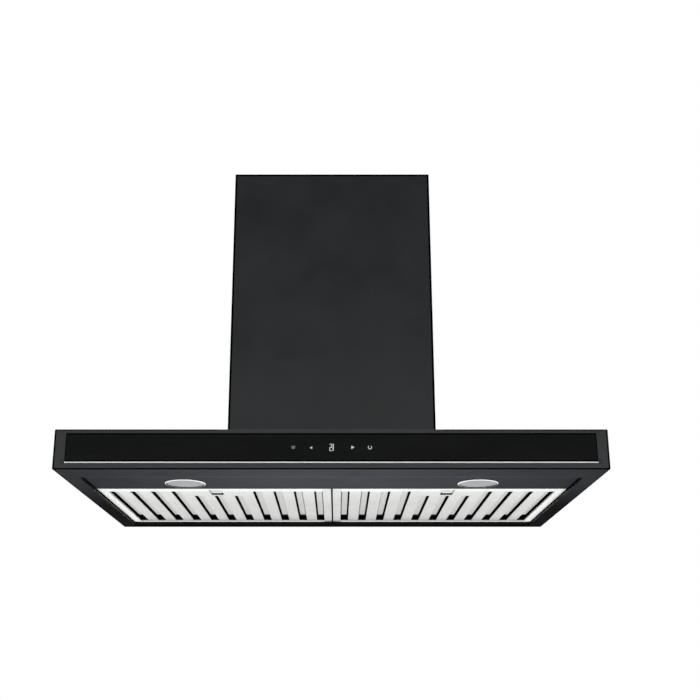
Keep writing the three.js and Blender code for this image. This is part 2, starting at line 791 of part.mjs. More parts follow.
// One sheet with long gaps whose edges are turned up.
function makeLowerBaffles() {
  const half = FILTER_WIDTH / 2 - FRAME_SHEET - GAP;
  const y = [FILTER_Y0 + FRAME_SHEET + GAP, FILTER_Y1 - FRAME_SHEET - GAP];
  const folds = [];
  const gaps = [];
  for (let i = 0; i < GAPS; i++) {
    const x = FIRST_GAP_X + i * GAP_PITCH;
    const from = gapStart(i);
    const reach = GAP_WIDTH / 2;
    folds.push(block([x - reach - 0.8, x + reach + 0.8], [from, GAP_Y1], [SLAT_Z, SLAT_Z + 2.6]));
    gaps.push(block([x - reach, x + reach], [from - 0.01, GAP_Y1 + 0.01], [SLAT_Z - 1, SLAT_Z + 4]));
  }
  const sheet = block([-half, half], y, [SLAT_Z, SLAT_Z + SLAT_SHEET]);
  const finger = block([-11.3, 11.3], LATCH_SLOT_Y, [SLAT_Z - 1, SLAT_Z + 3]);
  return cut(unite(sheet, ...folds), ...gaps, finger);
}

// Narrow channels above the gaps, hung from two cross rails.
function makeUpperBaffles() {
  const z = SLAT_Z + UPPER_SLAT_RISE;
  const railZ = [z + 4.6, z + 5.8];
  const reach = UPPER_SLAT_WIDTH / 2;
  const end = GAP_Y1 - 4 - 47; // a drain opening is left behind the channels
  const channels = [];
  for (let i = 0; i < GAPS; i++) {
    const x = FIRST_GAP_X + i * GAP_PITCH;
    const from = gapStart(i) + (MIDDLE_GAPS.includes(i) ? 4 : 20);
    channels.push(
      cut(
        block([x - reach, x + reach], [from, end], [z, z + 5]),
        block([x - reach + 1, x + reach - 1], [from - 1, end + 1], [z + 1, z + 6]),
      ),
    );
  }
  const railX = FILTER_WIDTH / 2 - FRAME_SHEET - GAP;
  const rails = [FILTER_Y0 + LATCH_ZONE + 12, end - 30].map((y) =>
    block([-railX, railX], [y, y + 12], railZ),
  );
  return unite(...rails, ...channels);
}

// Sliding bolt: a nose over the pan's edge, a finger lip at the rear and an ear for the spring.
const BOLT_Z = [PAN_Z + SHEET + 1.2, PAN_Z + SHEET + 4.2];
const BOLT_REAR = FILTER_Y0 + 28;
const EAR_Y = [FILTER_Y0 + 2.5, FILTER_Y0 + 4];
const SPRING_Z = 13.6;
const GUIDE_Y = [FILTER_Y0 + 4.5, FILTER_Y0 + 26];

function makeLatchBolt() {
  return unite(
    block([-11, 11], [FILTER_Y0 - 6, BOLT_REAR], BOLT_Z),
    block([-10, 10], [BOLT_REAR - 1.5, BOLT_REAR], [PAN_Z + 0.6, BOLT_Z[1]]),
    block([-3.6, 3.6], EAR_Y, [BOLT_Z[0], SPRING_Z + 3]),
  );
}

function makeLatchGuide() {
  const [y0, y1] = GUIDE_Y;
  const base = SLAT_Z + SLAT_SHEET + GAP;
  return cut(
    block([-15.5, 15.5], [y0, y1], [base, FRAME_TOP]),
    block([-11.4, 11.4], [y0 - 1, y1 + 1], [base - 1, BOLT_Z[1] + GAP]),
    block([-4.4, 4.4], [y0 - 1, y1 - 1.5], [base, FRAME_TOP - 1]),
  );
}

function makeLatchSpring() {
  const turns = 4;
  const from = EAR_Y[1] + GAP + 0.5;
  const to = GUIDE_Y[1] - 1.5 - GAP - 0.5;
  const points = [];
  const perTurn = 8;
  for (let i = 0; i <= turns * perTurn; i++) {
    const turn = (2 * Math.PI * i) / perTurn;
    const y = from + ((to - from) * i) / (turns * perTurn);
    points.push([2.6 * Math.cos(turn), y, SPRING_Z + 2.6 * Math.sin(turn)]);
  }
  return lead(points, 0.45, turns * perTurn, 5);
}

function makeFilters() {
  for (const [name, s] of SIDES) {
    const filter = new THREE.Group();
    filter.position.x = s * FILTER_X;
    canopy.add(filter);
    place(filter, "filter_frame_" + name, makeFilterFrame(), stainless);
    place(filter, "lower_baffles_" + name, makeLowerBaffles(), stainless);
    place(filter, "upper_baffles_" + name, makeUpperBaffles(), stainless);
    place(filter, "latch_guide_" + name, makeLatchGuide(), zinc);
    place(filter, "latch_bolt_" + name, makeLatchBolt(), polished);
    place(filter, "latch_spring_" + name, makeLatchSpring(), polished);
  }
}

makeTelescope();
place(canopy, "canopy_shell", makeCanopyShell(), blackPaint);
place(canopy, "light_pan", makeLightPan(), blackPaint);
makeControls();
makeControlBox();
makeLamps();
makeBlower();
makeLeads();
makeFilters();

export default hood;
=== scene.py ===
"""Island range hood: the visible pieces and finishes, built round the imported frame.

Lengths are in metres. +Z is up and the front faces -Y. Every class is one sub-assembly of the
real hood: its sizes are fields, and its methods shape the meshes and dress them.
"""

import json
import logging
import math
from collections.abc import Callable, Iterator, Sequence
from contextlib import contextmanager
from dataclasses import dataclass, replace
from enum import Enum

import bmesh
import bpy
from mathutils import Matrix, Vector

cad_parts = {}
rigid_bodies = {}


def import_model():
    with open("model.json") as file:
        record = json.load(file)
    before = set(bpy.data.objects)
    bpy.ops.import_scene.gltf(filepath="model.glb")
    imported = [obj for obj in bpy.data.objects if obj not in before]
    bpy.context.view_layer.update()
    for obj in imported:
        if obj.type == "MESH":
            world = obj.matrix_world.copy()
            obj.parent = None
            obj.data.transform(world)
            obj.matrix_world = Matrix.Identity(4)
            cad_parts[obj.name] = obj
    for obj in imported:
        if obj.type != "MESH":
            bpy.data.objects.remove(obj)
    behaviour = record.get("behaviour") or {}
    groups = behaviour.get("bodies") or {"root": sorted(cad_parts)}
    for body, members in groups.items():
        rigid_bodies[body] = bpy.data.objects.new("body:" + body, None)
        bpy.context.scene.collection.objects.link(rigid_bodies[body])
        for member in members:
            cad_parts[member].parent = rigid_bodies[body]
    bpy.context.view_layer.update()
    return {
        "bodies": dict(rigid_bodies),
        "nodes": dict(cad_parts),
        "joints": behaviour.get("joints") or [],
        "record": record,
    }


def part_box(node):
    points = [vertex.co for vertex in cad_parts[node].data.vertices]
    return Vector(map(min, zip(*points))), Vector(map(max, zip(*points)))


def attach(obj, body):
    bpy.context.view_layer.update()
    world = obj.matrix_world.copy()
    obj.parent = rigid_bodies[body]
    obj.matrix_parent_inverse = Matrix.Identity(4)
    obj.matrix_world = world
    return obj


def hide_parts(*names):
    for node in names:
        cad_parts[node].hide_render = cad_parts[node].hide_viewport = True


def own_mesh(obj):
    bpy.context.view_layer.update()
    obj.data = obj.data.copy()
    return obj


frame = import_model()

log = logging.getLogger("range_hood")

Point = tuple[float, float, float]
Span = tuple[float, float]
Fade = tuple[float, float, float]
Cuts = Sequence[float]
Socket = bpy.types.NodeSocket
Inputs = dict[str | int, object]
MM = 0.001
HAIR = 0.02 * MM  # vertices closer than this are one vertex
SMOOTH_ANGLE = math.radians(32)
GAP = 0.3 * MM  # the play between neighbours
PAST = 1 * MM  # how far a cutter reaches past what it cuts
LEANING = 0.985  # no share of a fold's normal along an axis is larger
LEVEL = 0.9  # a normal's share along an axis, above which a face counts as square to it
FLAT = 0.99  # the same where folds have to be left out
LIVELY = (0.3, 0.7)  # most of a noise pattern lies between these
WHITE = (1.0, 1.0, 1.0, 1.0)
SHADE_REACH = (80 * MM, 430 * MM)  # where the painted shade towards the hood's sides begins and ends, from the middle


class Side(Enum):
    """The hood's left and right hand, as seen from the front."""

    LEFT = -1
    RIGHT = 1

    @property
    def label(self) -> str:
        """The word that node names end in."""
        return self.name.lower()


class Axis(Enum):
    """The axis that a turned piece stands on, with the turn that lays +Z along it."""

    X = (0.0, math.pi / 2, 0.0)
    Y = (-math.pi / 2, 0.0, 0.0)
    Z = (0.0, 0.0, 0.0)


# ---- shop tools: meshes -------------------------------------------------------------------


def focus(obj: bpy.types.Object) -> None:
    """Makes one object the only selected one, and the active one.

    Args:
        obj: The object to work on.
    """
    bpy.ops.object.select_all(action="DESELECT")
    obj.select_set(True)
    bpy.context.view_layer.objects.active = obj


def settle(obj: bpy.types.Object) -> bpy.types.Object:
    """Moves an object's place, turn and scale into its mesh.

    Args:
        obj: The object to settle.

    Returns:
        The same object, now at the origin.
    """
    focus(obj)
    bpy.ops.object.transform_apply(location=True, rotation=True, scale=True)
    return obj


def cuboid(name: str, low: Point, high: Point) -> bpy.types.Object:
    """Adds a block between two corners, as the start of a piece.

    Args:
        name: The object's name.
        low: Its lowest corner.
        high: Its highest corner.

    Returns:
        The new object.
    """
    bpy.ops.object.select_all(action="DESELECT")
    middle = [(a + b) / 2 for a, b in zip(low, high)]
    size = [b - a for a, b in zip(low, high)]
    bpy.ops.mesh.primitive_cube_add(size=1, location=middle, scale=size)
    obj = settle(bpy.context.active_object)
    obj.name = name
    return obj


def plane(name: str, x: Span, y: Span, z: float) -> bpy.types.Object:
    """Adds a flat blank of sheet that lies level.

    Args:
        name: The object's name.
        x: Its limits along X.
        y: Its limits along Y.
        z: Its height.

    Returns:
        The new object.
    """
    bpy.ops.object.select_all(action="DESELECT")
    bpy.ops.mesh.primitive_plane_add(size=1, location=((x[0] + x[1]) / 2, (y[0] + y[1]) / 2, z))
    obj = bpy.context.active_object
    obj.scale = (x[1] - x[0], y[1] - y[0], 1)
    obj.name = name
    return settle(obj)


def rod(
    name: str, radius: float, span: Span, at: Point, axis: Axis = Axis.Z, sides: int = 48
) -> bpy.types.Object:
    """Adds a round bar, as the start of a piece or as a drill.

    Args:
        name: The object's name.
        radius: Its radius.
        span: Where it begins and ends along its axis, measured from the point.
        at: The point on its axis.
        axis: The direction of its axis.
        sides: The number of sides.

    Returns:
        The new object.
    """
    bpy.ops.object.select_all(action="DESELECT")
    turn = Matrix.Identity(3) if axis is Axis.Z else turn_matrix(axis)
    middle = Vector(at) + turn @ Vector((0, 0, (span[0] + span[1]) / 2))
    bpy.ops.mesh.primitive_cylinder_add(
        vertices=sides, radius=radius, depth=span[1] - span[0], location=middle, rotation=axis.value
    )
    obj = settle(bpy.context.active_object)
    obj.name = name
    return obj


def turn_matrix(axis: Axis) -> Matrix:
    """The turn that lays +Z along an axis."""
    return Matrix.Rotation(axis.value[1], 3, "Y") @ Matrix.Rotation(axis.value[0], 3, "X")


@contextmanager
def editing(obj: bpy.types.Object) -> Iterator[None]:
    """Opens an object in edit mode with nothing selected, and closes it again.

    Args:
        obj: The object to edit.
    """
    focus(obj)
    bpy.ops.object.mode_set(mode="EDIT")
    bpy.ops.mesh.select_all(action="DESELECT")
    yield
    bpy.ops.object.mode_set(mode="OBJECT")


def pick(obj: bpy.types.Object, kind: str, test: Callable[..., bool]) -> int:
    """Selects the faces, edges or vertices that pass a test, and nothing else.

    Args:
        obj: The object in edit mode.
        kind: FACE, EDGE or VERT.
        test: Takes one element and says whether it is wanted.

    Returns:
        How many were selected.
    """
    bpy.ops.mesh.select_mode(type=kind)
    bpy.ops.mesh.select_all(action="DESELECT")
    mesh = bmesh.from_edit_mesh(obj.data)
    parts = {"FACE": mesh.faces, "EDGE": mesh.edges, "VERT": mesh.verts}[kind]
    wanted = [part for part in parts if test(part)]
    for part in wanted:
        part.select_set(True)
    mesh.select_flush_mode()
    bmesh.update_edit_mesh(obj.data)
    return len(wanted)


def lift(height: float) -> dict[str, Point]:
    """What the extrude operators take to move the new part up by a height."""
    return {"value": (0, 0, height)}


def middle_of(edge: bmesh.types.BMEdge) -> Vector:
    """The point halfway along an edge."""
    return (edge.verts[0].co + edge.verts[1].co) / 2


def shape(obj: bpy.types.Object, kind: str, **settings: object) -> bpy.types.Object:
    """Adds one modifier to an object and applies it.

    Args:
        obj: The object to change.
        kind: The modifier's type.
        **settings: The modifier's settings.

    Returns:
        The same object.
    """
    focus(obj)
    bpy.ops.object.modifier_add(type=kind)
    modifier = obj.modifiers[-1]
    for key, value in settings.items():
        setattr(modifier, key, value)
    bpy.ops.object.modifier_apply(modifier=modifier.name)
    return obj


def round_edges(
    obj: bpy.types.Object, radius: float, segments: int = 2, angle: float = 40
) -> bpy.types.Object:
    """Rounds every edge that turns by more than an angle.

    Args:
        obj: The object to change.
        radius: The width of the rounding.
        segments: How many facets it has.
        angle: The smallest turn that is rounded, in degrees.

    Returns:
        The same object.
    """
    return shape(
        obj,
        "BEVEL",
        width=radius,
        segments=segments,
        limit_method="ANGLE",
        angle_limit=math.radians(angle),
        use_clamp_overlap=True,
        miter_outer="MITER_ARC",
    )


def remove(*objs: bpy.types.Object) -> None:
    """Deletes objects and their meshes.

    Args:
        *objs: The objects to delete.
    """
    for obj in objs:
        mesh = obj.data
        bpy.data.objects.remove(obj)
        bpy.data.meshes.remove(mesh)


def carve(obj: bpy.types.Object, *cutters: bpy.types.Object) -> bpy.types.Object:
    """Cuts one object with others, which are used up.

    Args:
        obj: The object to cut.
        *cutters: The closed solids to take out of it.

    Returns:
        The same object.
    """
    tool = join("cutter", *cutters)
    shape(obj, "BOOLEAN", operation="DIFFERENCE", solver="EXACT", object=tool, use_self=True)
    remove(tool)
    return obj


def join(name: str, first: bpy.types.Object, *others: bpy.types.Object) -> bpy.types.Object:
    """Makes one object out of several.

    Args:
        name: The name of the result.
        first: The object that the others are added to.
        *others: The objects that are added.

    Returns:
        The joined object.
    """
    focus(first)
    for other in others:
        other.select_set(True)
    if others:
        bpy.ops.object.join()
    first.name = name
    return first


def copy_of(obj: bpy.types.Object, name: str, shift: Point = (0, 0, 0)) -> bpy.types.Object:
    """Copies an object with its mesh and moves the copy.

    Args:
        obj: The object to copy.
        name: The copy's name.
        shift: How far the copy is moved.

    Returns:
        The copy.
    """
    focus(obj)
    bpy.ops.object.duplicate(linked=False)
    made = bpy.context.active_object
    made.location = shift
    made.name = name
    return settle(made)


def turned(obj: bpy.types.Object, angle: float, about: str, at: Point) -> bpy.types.Object:
    """Turns an object round an axis through a point.

    Args:
        obj: The object to turn.
        angle: The angle, in degrees.
        about: X, Y or Z.
        at: A point on the axis.

    Returns:
        The same object.
    """
    place = Matrix.Translation(at)
    obj.matrix_world = place @ Matrix.Rotation(math.radians(angle), 4, about) @ place.inverted()
    return settle(obj)


def lathe(
    name: str, profile: list[tuple[float, float]], at: Point, axis: Axis = Axis.Z, sides: int = 64
) -> bpy.types.Object:
    """Turns a closed profile round an axis by extruding a ring from point to point.

    Args:
        name: The object's name.
        profile: (radius, height along the axis) points.
        at: The point on the axis that heights are measured from.
        axis: The direction of the axis.
        sides: The number of sides.

    Returns:
        The new closed object.
    """
    rings = [(max(radius, HAIR / 4), height) for radius, height in profile]
    bpy.ops.object.select_all(action="DESELECT")
    bpy.ops.mesh.primitive_circle_add(vertices=sides, radius=rings[0][0], location=(0, 0, rings[0][1]))
    obj = settle(bpy.context.active_object)
    focus(obj)
    bpy.ops.object.mode_set(mode="EDIT")
    bpy.ops.mesh.select_mode(type="EDGE")
    bpy.ops.mesh.select_all(action="SELECT")
    for (old, low), (new, high) in zip(rings, rings[1:] + rings[:1]):
        bpy.ops.mesh.extrude_edges_move(TRANSFORM_OT_translate=lift(high - low))
        grow = new / old
        bpy.ops.transform.resize(value=(grow, grow, 1), center_override=(0, 0, high))
    bpy.ops.mesh.select_all(action="SELECT")
    bpy.ops.mesh.remove_doubles(threshold=HAIR)
    bpy.ops.mesh.normals_make_consistent(inside=False)
    bpy.ops.object.mode_set(mode="OBJECT")
    obj.rotation_euler = axis.value
    settle(obj)
    obj.location = at
    obj.name = name
    return settle(obj)


def slice_sheet(xs: Cuts, ys: Cuts = (), zs: Cuts = ()) -> None:
    """Cuts the mesh in edit mode by planes, without parting it.

    Args:
        xs: Where planes square to X cut.
        ys: Where planes square to Y cut.
        zs: Where level planes cut.
    """
    for index, places in enumerate((xs, ys, zs)):
        normal = [0.0, 0.0, 0.0]
        normal[index] = 1.0
        for place in places:
            bpy.ops.mesh.select_all(action="SELECT")
            bpy.ops.mesh.bisect(plane_co=[place * n for n in normal], plane_no=normal)


def within(point: Vector, x: Span, y: Span) -> bool:
    """Whether a point lies between two limits in X and in Y."""
    return x[0] < point.x < x[1] and y[0] < point.y < y[1]


def smooth(obj: bpy.types.Object) -> bpy.types.Object:
    """Shades an object smooth, with its sharp edges kept and its large faces left flat.

    Args:
        obj: The object to shade.

    Returns:
        The same object.
    """
    focus(obj)
    bpy.ops.object.shade_smooth_by_angle(angle=SMOOTH_ANGLE)
    return shape(obj, "WEIGHTED_NORMAL", keep_sharp=True, weight=90)


# ---- shop tools: finishes -----------------------------------------------------------------


def linear(colour: str) -> tuple[float, float, float, float]:
    """Turns an sRGB hex colour into a linear one.

    Args:
        colour: Six hex digits.

    Returns:
        Red, green, blue and a full alpha.
    """
    parts = [int(colour[i : i + 2], 16) / 255 for i in (0, 2, 4)]
    red, green, blue = (c / 12.92 if c <= 0.04045 else ((c + 0.055) / 1.055) ** 2.4 for c in parts)
    return red, green, blue, 1.0


def feed(tree: bpy.types.NodeTree, node: bpy.types.Node, inputs: Inputs) -> None:
    """Sets or links some of a node's sockets.

    Args:
        tree: The node tree.
        node: The node.
        inputs: For each socket, by name or number, a value or the output that feeds it.
    """
    for key, value in inputs.items():
        if isinstance(value, Socket):
            tree.links.new(value, node.inputs[key])
        else:
            node.inputs[key].default_value = value


def add_node(
    tree: bpy.types.NodeTree, kind: str, inputs: Inputs | None = None, **settings: object
) -> bpy.types.Node:
    """Adds a node with its settings, values and links.

    Args:
        tree: The node tree.
        kind: The node's type, without the word that all of them begin with.
        inputs: What its sockets take.
        **settings: The node's own settings.

    Returns:
        The new node.
    """
    node = tree.nodes.new("ShaderNode" + kind)
    for key, value in settings.items():
        setattr(node, key, value)
    feed(tree, node, inputs or {})
    return node


def fit(tree: bpy.types.NodeTree, value: Socket, old: Span, new: Span) -> Socket:
    """Fits a value's range to a new one.

    Args:
        tree: The node tree.
        value: The value.
        old: The range that it has.
        new: The range that it gets.

    Returns:
        The new value.
    """
    ends = {"From Min": old[0], "From Max": old[1], "To Min": new[0], "To Max": new[1]}
    return add_node(tree, "MapRange", {"Value": value, **ends}).outputs["Result"]


@dataclass(frozen=True)
class Coat:
    """One material in the making.

    Attributes:
        tree: Its node tree.
        shader: Its surface shader.
        place: Where a point lies on the object.
    """

    tree: bpy.types.NodeTree
    shader: bpy.types.Node
    place: Socket

    def add(self, kind: str, inputs: Inputs, **settings: object) -> bpy.types.Node:
        """Adds a node."""
        return add_node(self.tree, kind, inputs, **settings)

    def put(self, inputs: Inputs) -> None:
        """Sets or links the shader's own sockets."""
        feed(self.tree, self.shader, inputs)

    def noise(self, scale: float, place: Socket | None = None, **inputs: float) -> Socket:
        """Adds a noise pattern.

        Args:
            scale: How many of its cells fill a metre.
            place: What it lies on, if not the plain object.
            **inputs: Its other inputs.

        Returns:
            The pattern.
        """
        inputs |= {"Vector": self.place if place is None else place, "Scale": scale}
        return self.add("TexNoise", inputs).outputs["Fac"]

    def mapped(self, **inputs: Point) -> Socket:
        """Gives the place moved, turned or scaled."""
        return self.add("Mapping", {"Vector": self.place, **inputs}).outputs["Vector"]

    def blend(self, share: float, first: Socket, second: Socket) -> Socket:
        """Blends two patterns."""
        return self.add("Mix", {0: share, 2: first, 3: second}, data_type="FLOAT").outputs[0]

    def vary(self, field: Socket, low: str, high: str, roughness: Span) -> None:
        """Lets one pattern move the colour and the roughness together.

        Args:
            field: A pattern from 0 to 1.
            low: The sRGB colour at its low end.
            high: The sRGB colour at its high end.
            roughness: The roughness at its two ends.
        """
        ramp = self.add("ValToRGB", {"Fac": field})
        for stop, position, colour in zip(ramp.color_ramp.elements, LIVELY, (low, high)):
            stop.position, stop.color = position, linear(colour)
        rough = fit(self.tree, field, LIVELY, roughness)
        self.put({"Base Color": ramp.outputs["Color"], "Roughness": rough})

    def emboss(self, height: Socket, depth: float, strength: float) -> None:
        """Turns a pattern into relief.

        Args:
            height: The pattern.
            depth: How deep it goes.
            strength: How strongly it shows.
        """
        bump = self.add("Bump", {"Height": height, "Distance": depth, "Strength": strength})
        self.put({"Normal": bump.outputs["Normal"]})

    def darken(self, fade: Fade, sides: float) -> None:
        """Paints shade: changes the colour towards the rear and the sides.

        Args:
            fade: Where along Y it begins and ends to change, and the share that is left.
            sides: The share that is left at the hood's sides.
        """
        split = self.add("SeparateXYZ", {"Vector": self.place})
        aside = self.add("Math", {0: split.outputs["X"]}, operation="ABSOLUTE").outputs[0]
        across = fit(self.tree, aside, SHADE_REACH, (1.0, sides))
        along = fit(self.tree, split.outputs["Y"], fade[:2], (1.0, fade[2]))
        both = self.add("Math", {0: along, 1: across}, operation="MULTIPLY").outputs[0]
        colour = self.shader.inputs["Base Color"].links[0].from_socket
        dark = self.add("VectorMath", {0: colour, 3: both}, operation="SCALE")
        self.put({"Base Color": dark.outputs["Vector"]})


@dataclass(frozen=True)
class Finish:
    """What every finish has: a name, two shades of one colour and how it takes the light.

    Attributes:
        name: The material's name.
        slot: The record's material slot that it belongs to. Not used.
        low: Its darker sRGB shade.
        high: Its lighter one.
        roughness: Its middle roughness.
        metallic: 1 for bare metal.
        grain: The size of its finest visible grain.
        relief: How deep the grain's relief is.
        fade: Where along Y its painted shade begins and ends to grow darker, and the share that is left.
        sides: The share that is left at the hood's sides: painted shade below 1, painted light above 1.
    """

    name: str
    slot: str
    low: str
    high: str
    roughness: float
    metallic: float = 0.0
    grain: float = 1.0 * MM
    relief: float = 0.02 * MM
    fade: Fade = (0.0, 0.0, 1.0)
    sides: float = 1.0

    def material(self) -> bpy.types.Material:
        """Makes the material, or gives the one that is already made."""
        made = bpy.data.materials.get(self.name)
        if made:
            return made
        made = bpy.data.materials.new(self.name)
        made.use_nodes = True
        tree = made.node_tree
        place = add_node(tree, "TexCoord").outputs["Object"]
        coat = Coat(tree, tree.nodes["Principled BSDF"], place)
        coat.put({"Metallic": self.metallic})
        self.detail(coat)
        if self.fade[2] < 1:
            coat.darken(self.fade, self.sides)
        return made

    def detail(self, coat: Coat) -> None:
        """Adds what makes the surface more than one colour."""
        raise NotImplementedError

    def dress(self, obj: bpy.types.Object) -> bpy.types.Object:
        """Gives an object this finish all over.

        Args:
            obj: The object to dress.

        Returns:
            The same object.
        """
        obj.data.materials.clear()
        obj.data.materials.append(self.material())
        return obj


@dataclass(frozen=True)
class PowderCoat(Finish):
    """Black polyester powder, sprayed and baked. It gives the eye a faint orange peel, a soft
    satin sheen and slow clouds where the coat is thicker."""

    cloud: float = 90 * MM
    specular: float = 0.5

    def detail(self, coat: Coat) -> None:
        """Adds slow clouds and the orange peel."""
        coat.put({"Specular IOR Level": self.specular})
        clouds = coat.noise(1 / self.cloud, Detail=5.0, Roughness=0.62)
        coat.vary(clouds, self.low, self.high, (self.roughness - 0.04, self.roughness + 0.05))
        coat.emboss(coat.noise(1 / self.grain, Detail=2.0), self.relief, 0.5)


@dataclass(frozen=True)
class BackPaintedGlass(Finish):
    """Toughened glass with black enamel fired on its back. It gives the eye a deep even black
    with a sharp reflection and the faint haze that wiping leaves."""

    wipe: float = 160 * MM

    def detail(self, coat: Coat) -> None:
        """Adds the wiped haze and the long waves of tempering."""
        coat.put({"IOR": 1.52})
        haze = coat.noise(1 / self.wipe, coat.mapped(Scale=(1, 1, 5)), Detail=6.0)
        coat.vary(haze, self.low, self.high, (self.roughness, 0.07))
        coat.emboss(coat.noise(1 / self.grain, Detail=0.0), self.relief, 0.15)


@dataclass(frozen=True)
class BrushedSheet(Finish):
    """Stainless sheet with a rolled or brushed grain. It gives the eye fine long streaks, a
    reflection drawn out across them, and a little staining."""

    stretch: Point = (1.0, 0.02, 1.0)
    spread: float = 0.06
    stain: float = 70 * MM

    def detail(self, coat: Coat) -> None:
        """Adds the streaks, the stains and the relief of the grain."""
        streaks = coat.noise(1 / self.grain, coat.mapped(Scale=self.stretch), Detail=3.0)
        stains = coat.noise(1 / self.stain, Detail=4.0, Distortion=0.6)
        roughness = (self.roughness + self.spread, self.roughness - self.spread / 2)
        coat.vary(coat.blend(0.3, streaks, stains), self.low, self.high, roughness)
        coat.emboss(streaks, self.relief, 0.35)


@dataclass(frozen=True)
class Galvanised(Finish):
    """Hot-dip zinc on steel. It gives the eye a spangle of flat crystals, each a slightly
    different grey, with dull white bloom between them."""

    def detail(self, coat: Coat) -> None:
        """Adds the crystals and the bloom."""
        spangle = coat.add("TexVoronoi", {"Vector": coat.place, "Scale": 1 / self.grain})
        crystal = coat.add("SeparateColor", {"Color": spangle.outputs["Color"]}).outputs["Red"]
        bloom = coat.blend(0.5, crystal, coat.noise(14.0, Detail=6.0))
        coat.vary(bloom, self.low, self.high, (self.roughness, 0.32))
        coat.emboss(crystal, self.relief, 0.3)


@dataclass(frozen=True)
class Moulded(Finish):
    """Injection-moulded plastic or cast, painted metal with a spark-eroded skin. It gives the
    eye a fine even stipple and slightly shinier high spots."""

    def detail(self, coat: Coat) -> None:
        """Adds the stipple and slow shade differences."""
        stipple = coat.noise(1 / self.grain, Detail=1.0, Roughness=0.7)
        both = coat.blend(0.5, stipple, coat.noise(25.0, Detail=3.0))
        coat.vary(both, self.low, self.high, (self.roughness + 0.06, self.roughness - 0.06))
        coat.emboss(stipple, self.relief, 0.6)


@dataclass(frozen=True)
class OpalLens(Finish):
    """Frosted polycarbonate over light-emitting diodes. It gives the eye a milky disc with
    soft rings of tiny prisms."""

    centre: Point = (0.0, 0.0, 0.0)

    def detail(self, coat: Coat) -> None:
        """Adds the prism rings and the frosting."""
        coat.put({"IOR": 1.58, "Subsurface Weight": 0.2, "Subsurface Scale": 2 * MM})
        centred = coat.mapped(Location=[-c for c in self.centre], Scale=(1, 1, 0))
        rings = coat.add(
            "TexWave",
            {"Vector": centred, "Scale": 0.314 / self.grain},
            wave_type="RINGS",
            rings_direction="SPHERICAL",
        )
        both = coat.blend(0.3, rings.outputs["Fac"], coat.noise(900.0, Detail=2.0))
        coat.vary(both, self.low, self.high, (self.roughness, 0.3))
        coat.emboss(both, self.relief, 0.4)


@dataclass(frozen=True)
class SolderMask(Finish):
    """A lacquered circuit board. It gives the eye green lacquer with slightly raised copper
    tracks under it."""

    def detail(self, coat: Coat) -> None:
        """Adds the tracks."""
        upright = coat.mapped(Rotation=(math.pi / 2, 0, 0))
        tracks = coat.add(
            "TexBrick",
            {
                "Vector": upright,
                "Scale": 1.0,
                "Brick Width": 9 * self.grain,
                "Row Height": 2 * self.grain,
                "Mortar Size": 0.35 * self.grain,
            },
        ).outputs["Fac"]
        coat.vary(tracks, self.low, self.high, (self.roughness, 0.3))
        coat.emboss(tracks, self.relief, 0.6)


@dataclass(frozen=True)
class LitPrint(Finish):
    """A clear mark left in the enamel with a lamp behind it. It gives the eye soft white light
    that is a little uneven across the mark."""

    glow: float = 1.0

    def detail(self, coat: Coat) -> None:
        """Adds the light and its slight unevenness."""
        patch = coat.noise(1 / self.grain, Detail=1.0)
        coat.vary(patch, self.low, self.high, (0.3, 0.4))
        coat.put({"Emission Color": linear(self.high), "Emission Strength": self.glow})


PAINT = PowderCoat("satin_black_powder_coat", "black_paint", "191c1e", "1d2022", 0.42)
# A near-black coat that takes no sheen: painted shade along folds, edges and seams, and the plain black
# of the screws.
BLACK_AND_FOLD_SHADE = PowderCoat(
    "black_powder_coat_on_folds", "black_paint", "020202", "040404", 0.8, specular=0.0
)
# Painted shade: the underside's coat darkens towards the rear and the hood's sides.
SHADED_UNDERSIDE = PowderCoat(
    "matt_black_powder_coat",
    "black_paint",
    "424347",
    "48494d",
    0.5,
    specular=0.0,
    fade=(-0.14, 0.24, 0.1),
    sides=0.55,
)
# Painted shade: the rim's coat darkens towards the rear.
RIM_SHADE = replace(
    SHADED_UNDERSIDE, name="matt_black_powder_coat_on_rim", low="424346", high="48494b", fade=(-0.2, 0.04, 0.28)
)
# Painted light and shade: a lighter coat on the turned lip that darkens to near-black towards the rear.
LIP_LIGHT_AND_SHADE = PowderCoat(
    "powder_coat_on_turned_lip",
    "black_paint",
    "4c4d51",
    "545559",
    0.5,
    specular=0.1,
    fade=(-0.234, -0.19, 0.1),
)
# Painted highlight: a lighter coat along the front opening's edge.
HEM_HIGHLIGHT = replace(
    SHADED_UNDERSIDE, name="powder_coat_rubbed_along_hem", low="4b4c50", high="515256", roughness=0.45
)
# A thin black primer, used inside the canopy and also as painted shade inside the filters, in the lamp
# bezels and on the filters' rails.
PRIMER_AND_SHADE = PowderCoat("thin_black_primer", "black_paint", "0a0a0b", "111112", 0.7, specular=0.1)
GLASS = BackPaintedGlass("black_enamelled_glass", "black_glass", "0f1011", "141516", 0.03, grain=120 * MM)
# The grain's real pitch is about 0.1 mm. It is drawn at 0.8 mm so that it shows.
# Painted shade: the baffle's colour darkens towards the rear, and painted light makes it a little lighter
# at the hood's sides.
BAFFLE = BrushedSheet(
    "brushed_stainless_baffle",
    "baffle_steel",
    "dcdcda",
    "f8f8f6",
    0.33,
    1.0,
    0.8 * MM,
    fade=(-0.24, 0.06, 0.71),
    sides=1.05,
)
BORDER = BrushedSheet("brushed_stainless_border", "baffle_steel", "dcdcda", "f8f8f6", 0.55, 1.0, 0.8 * MM)
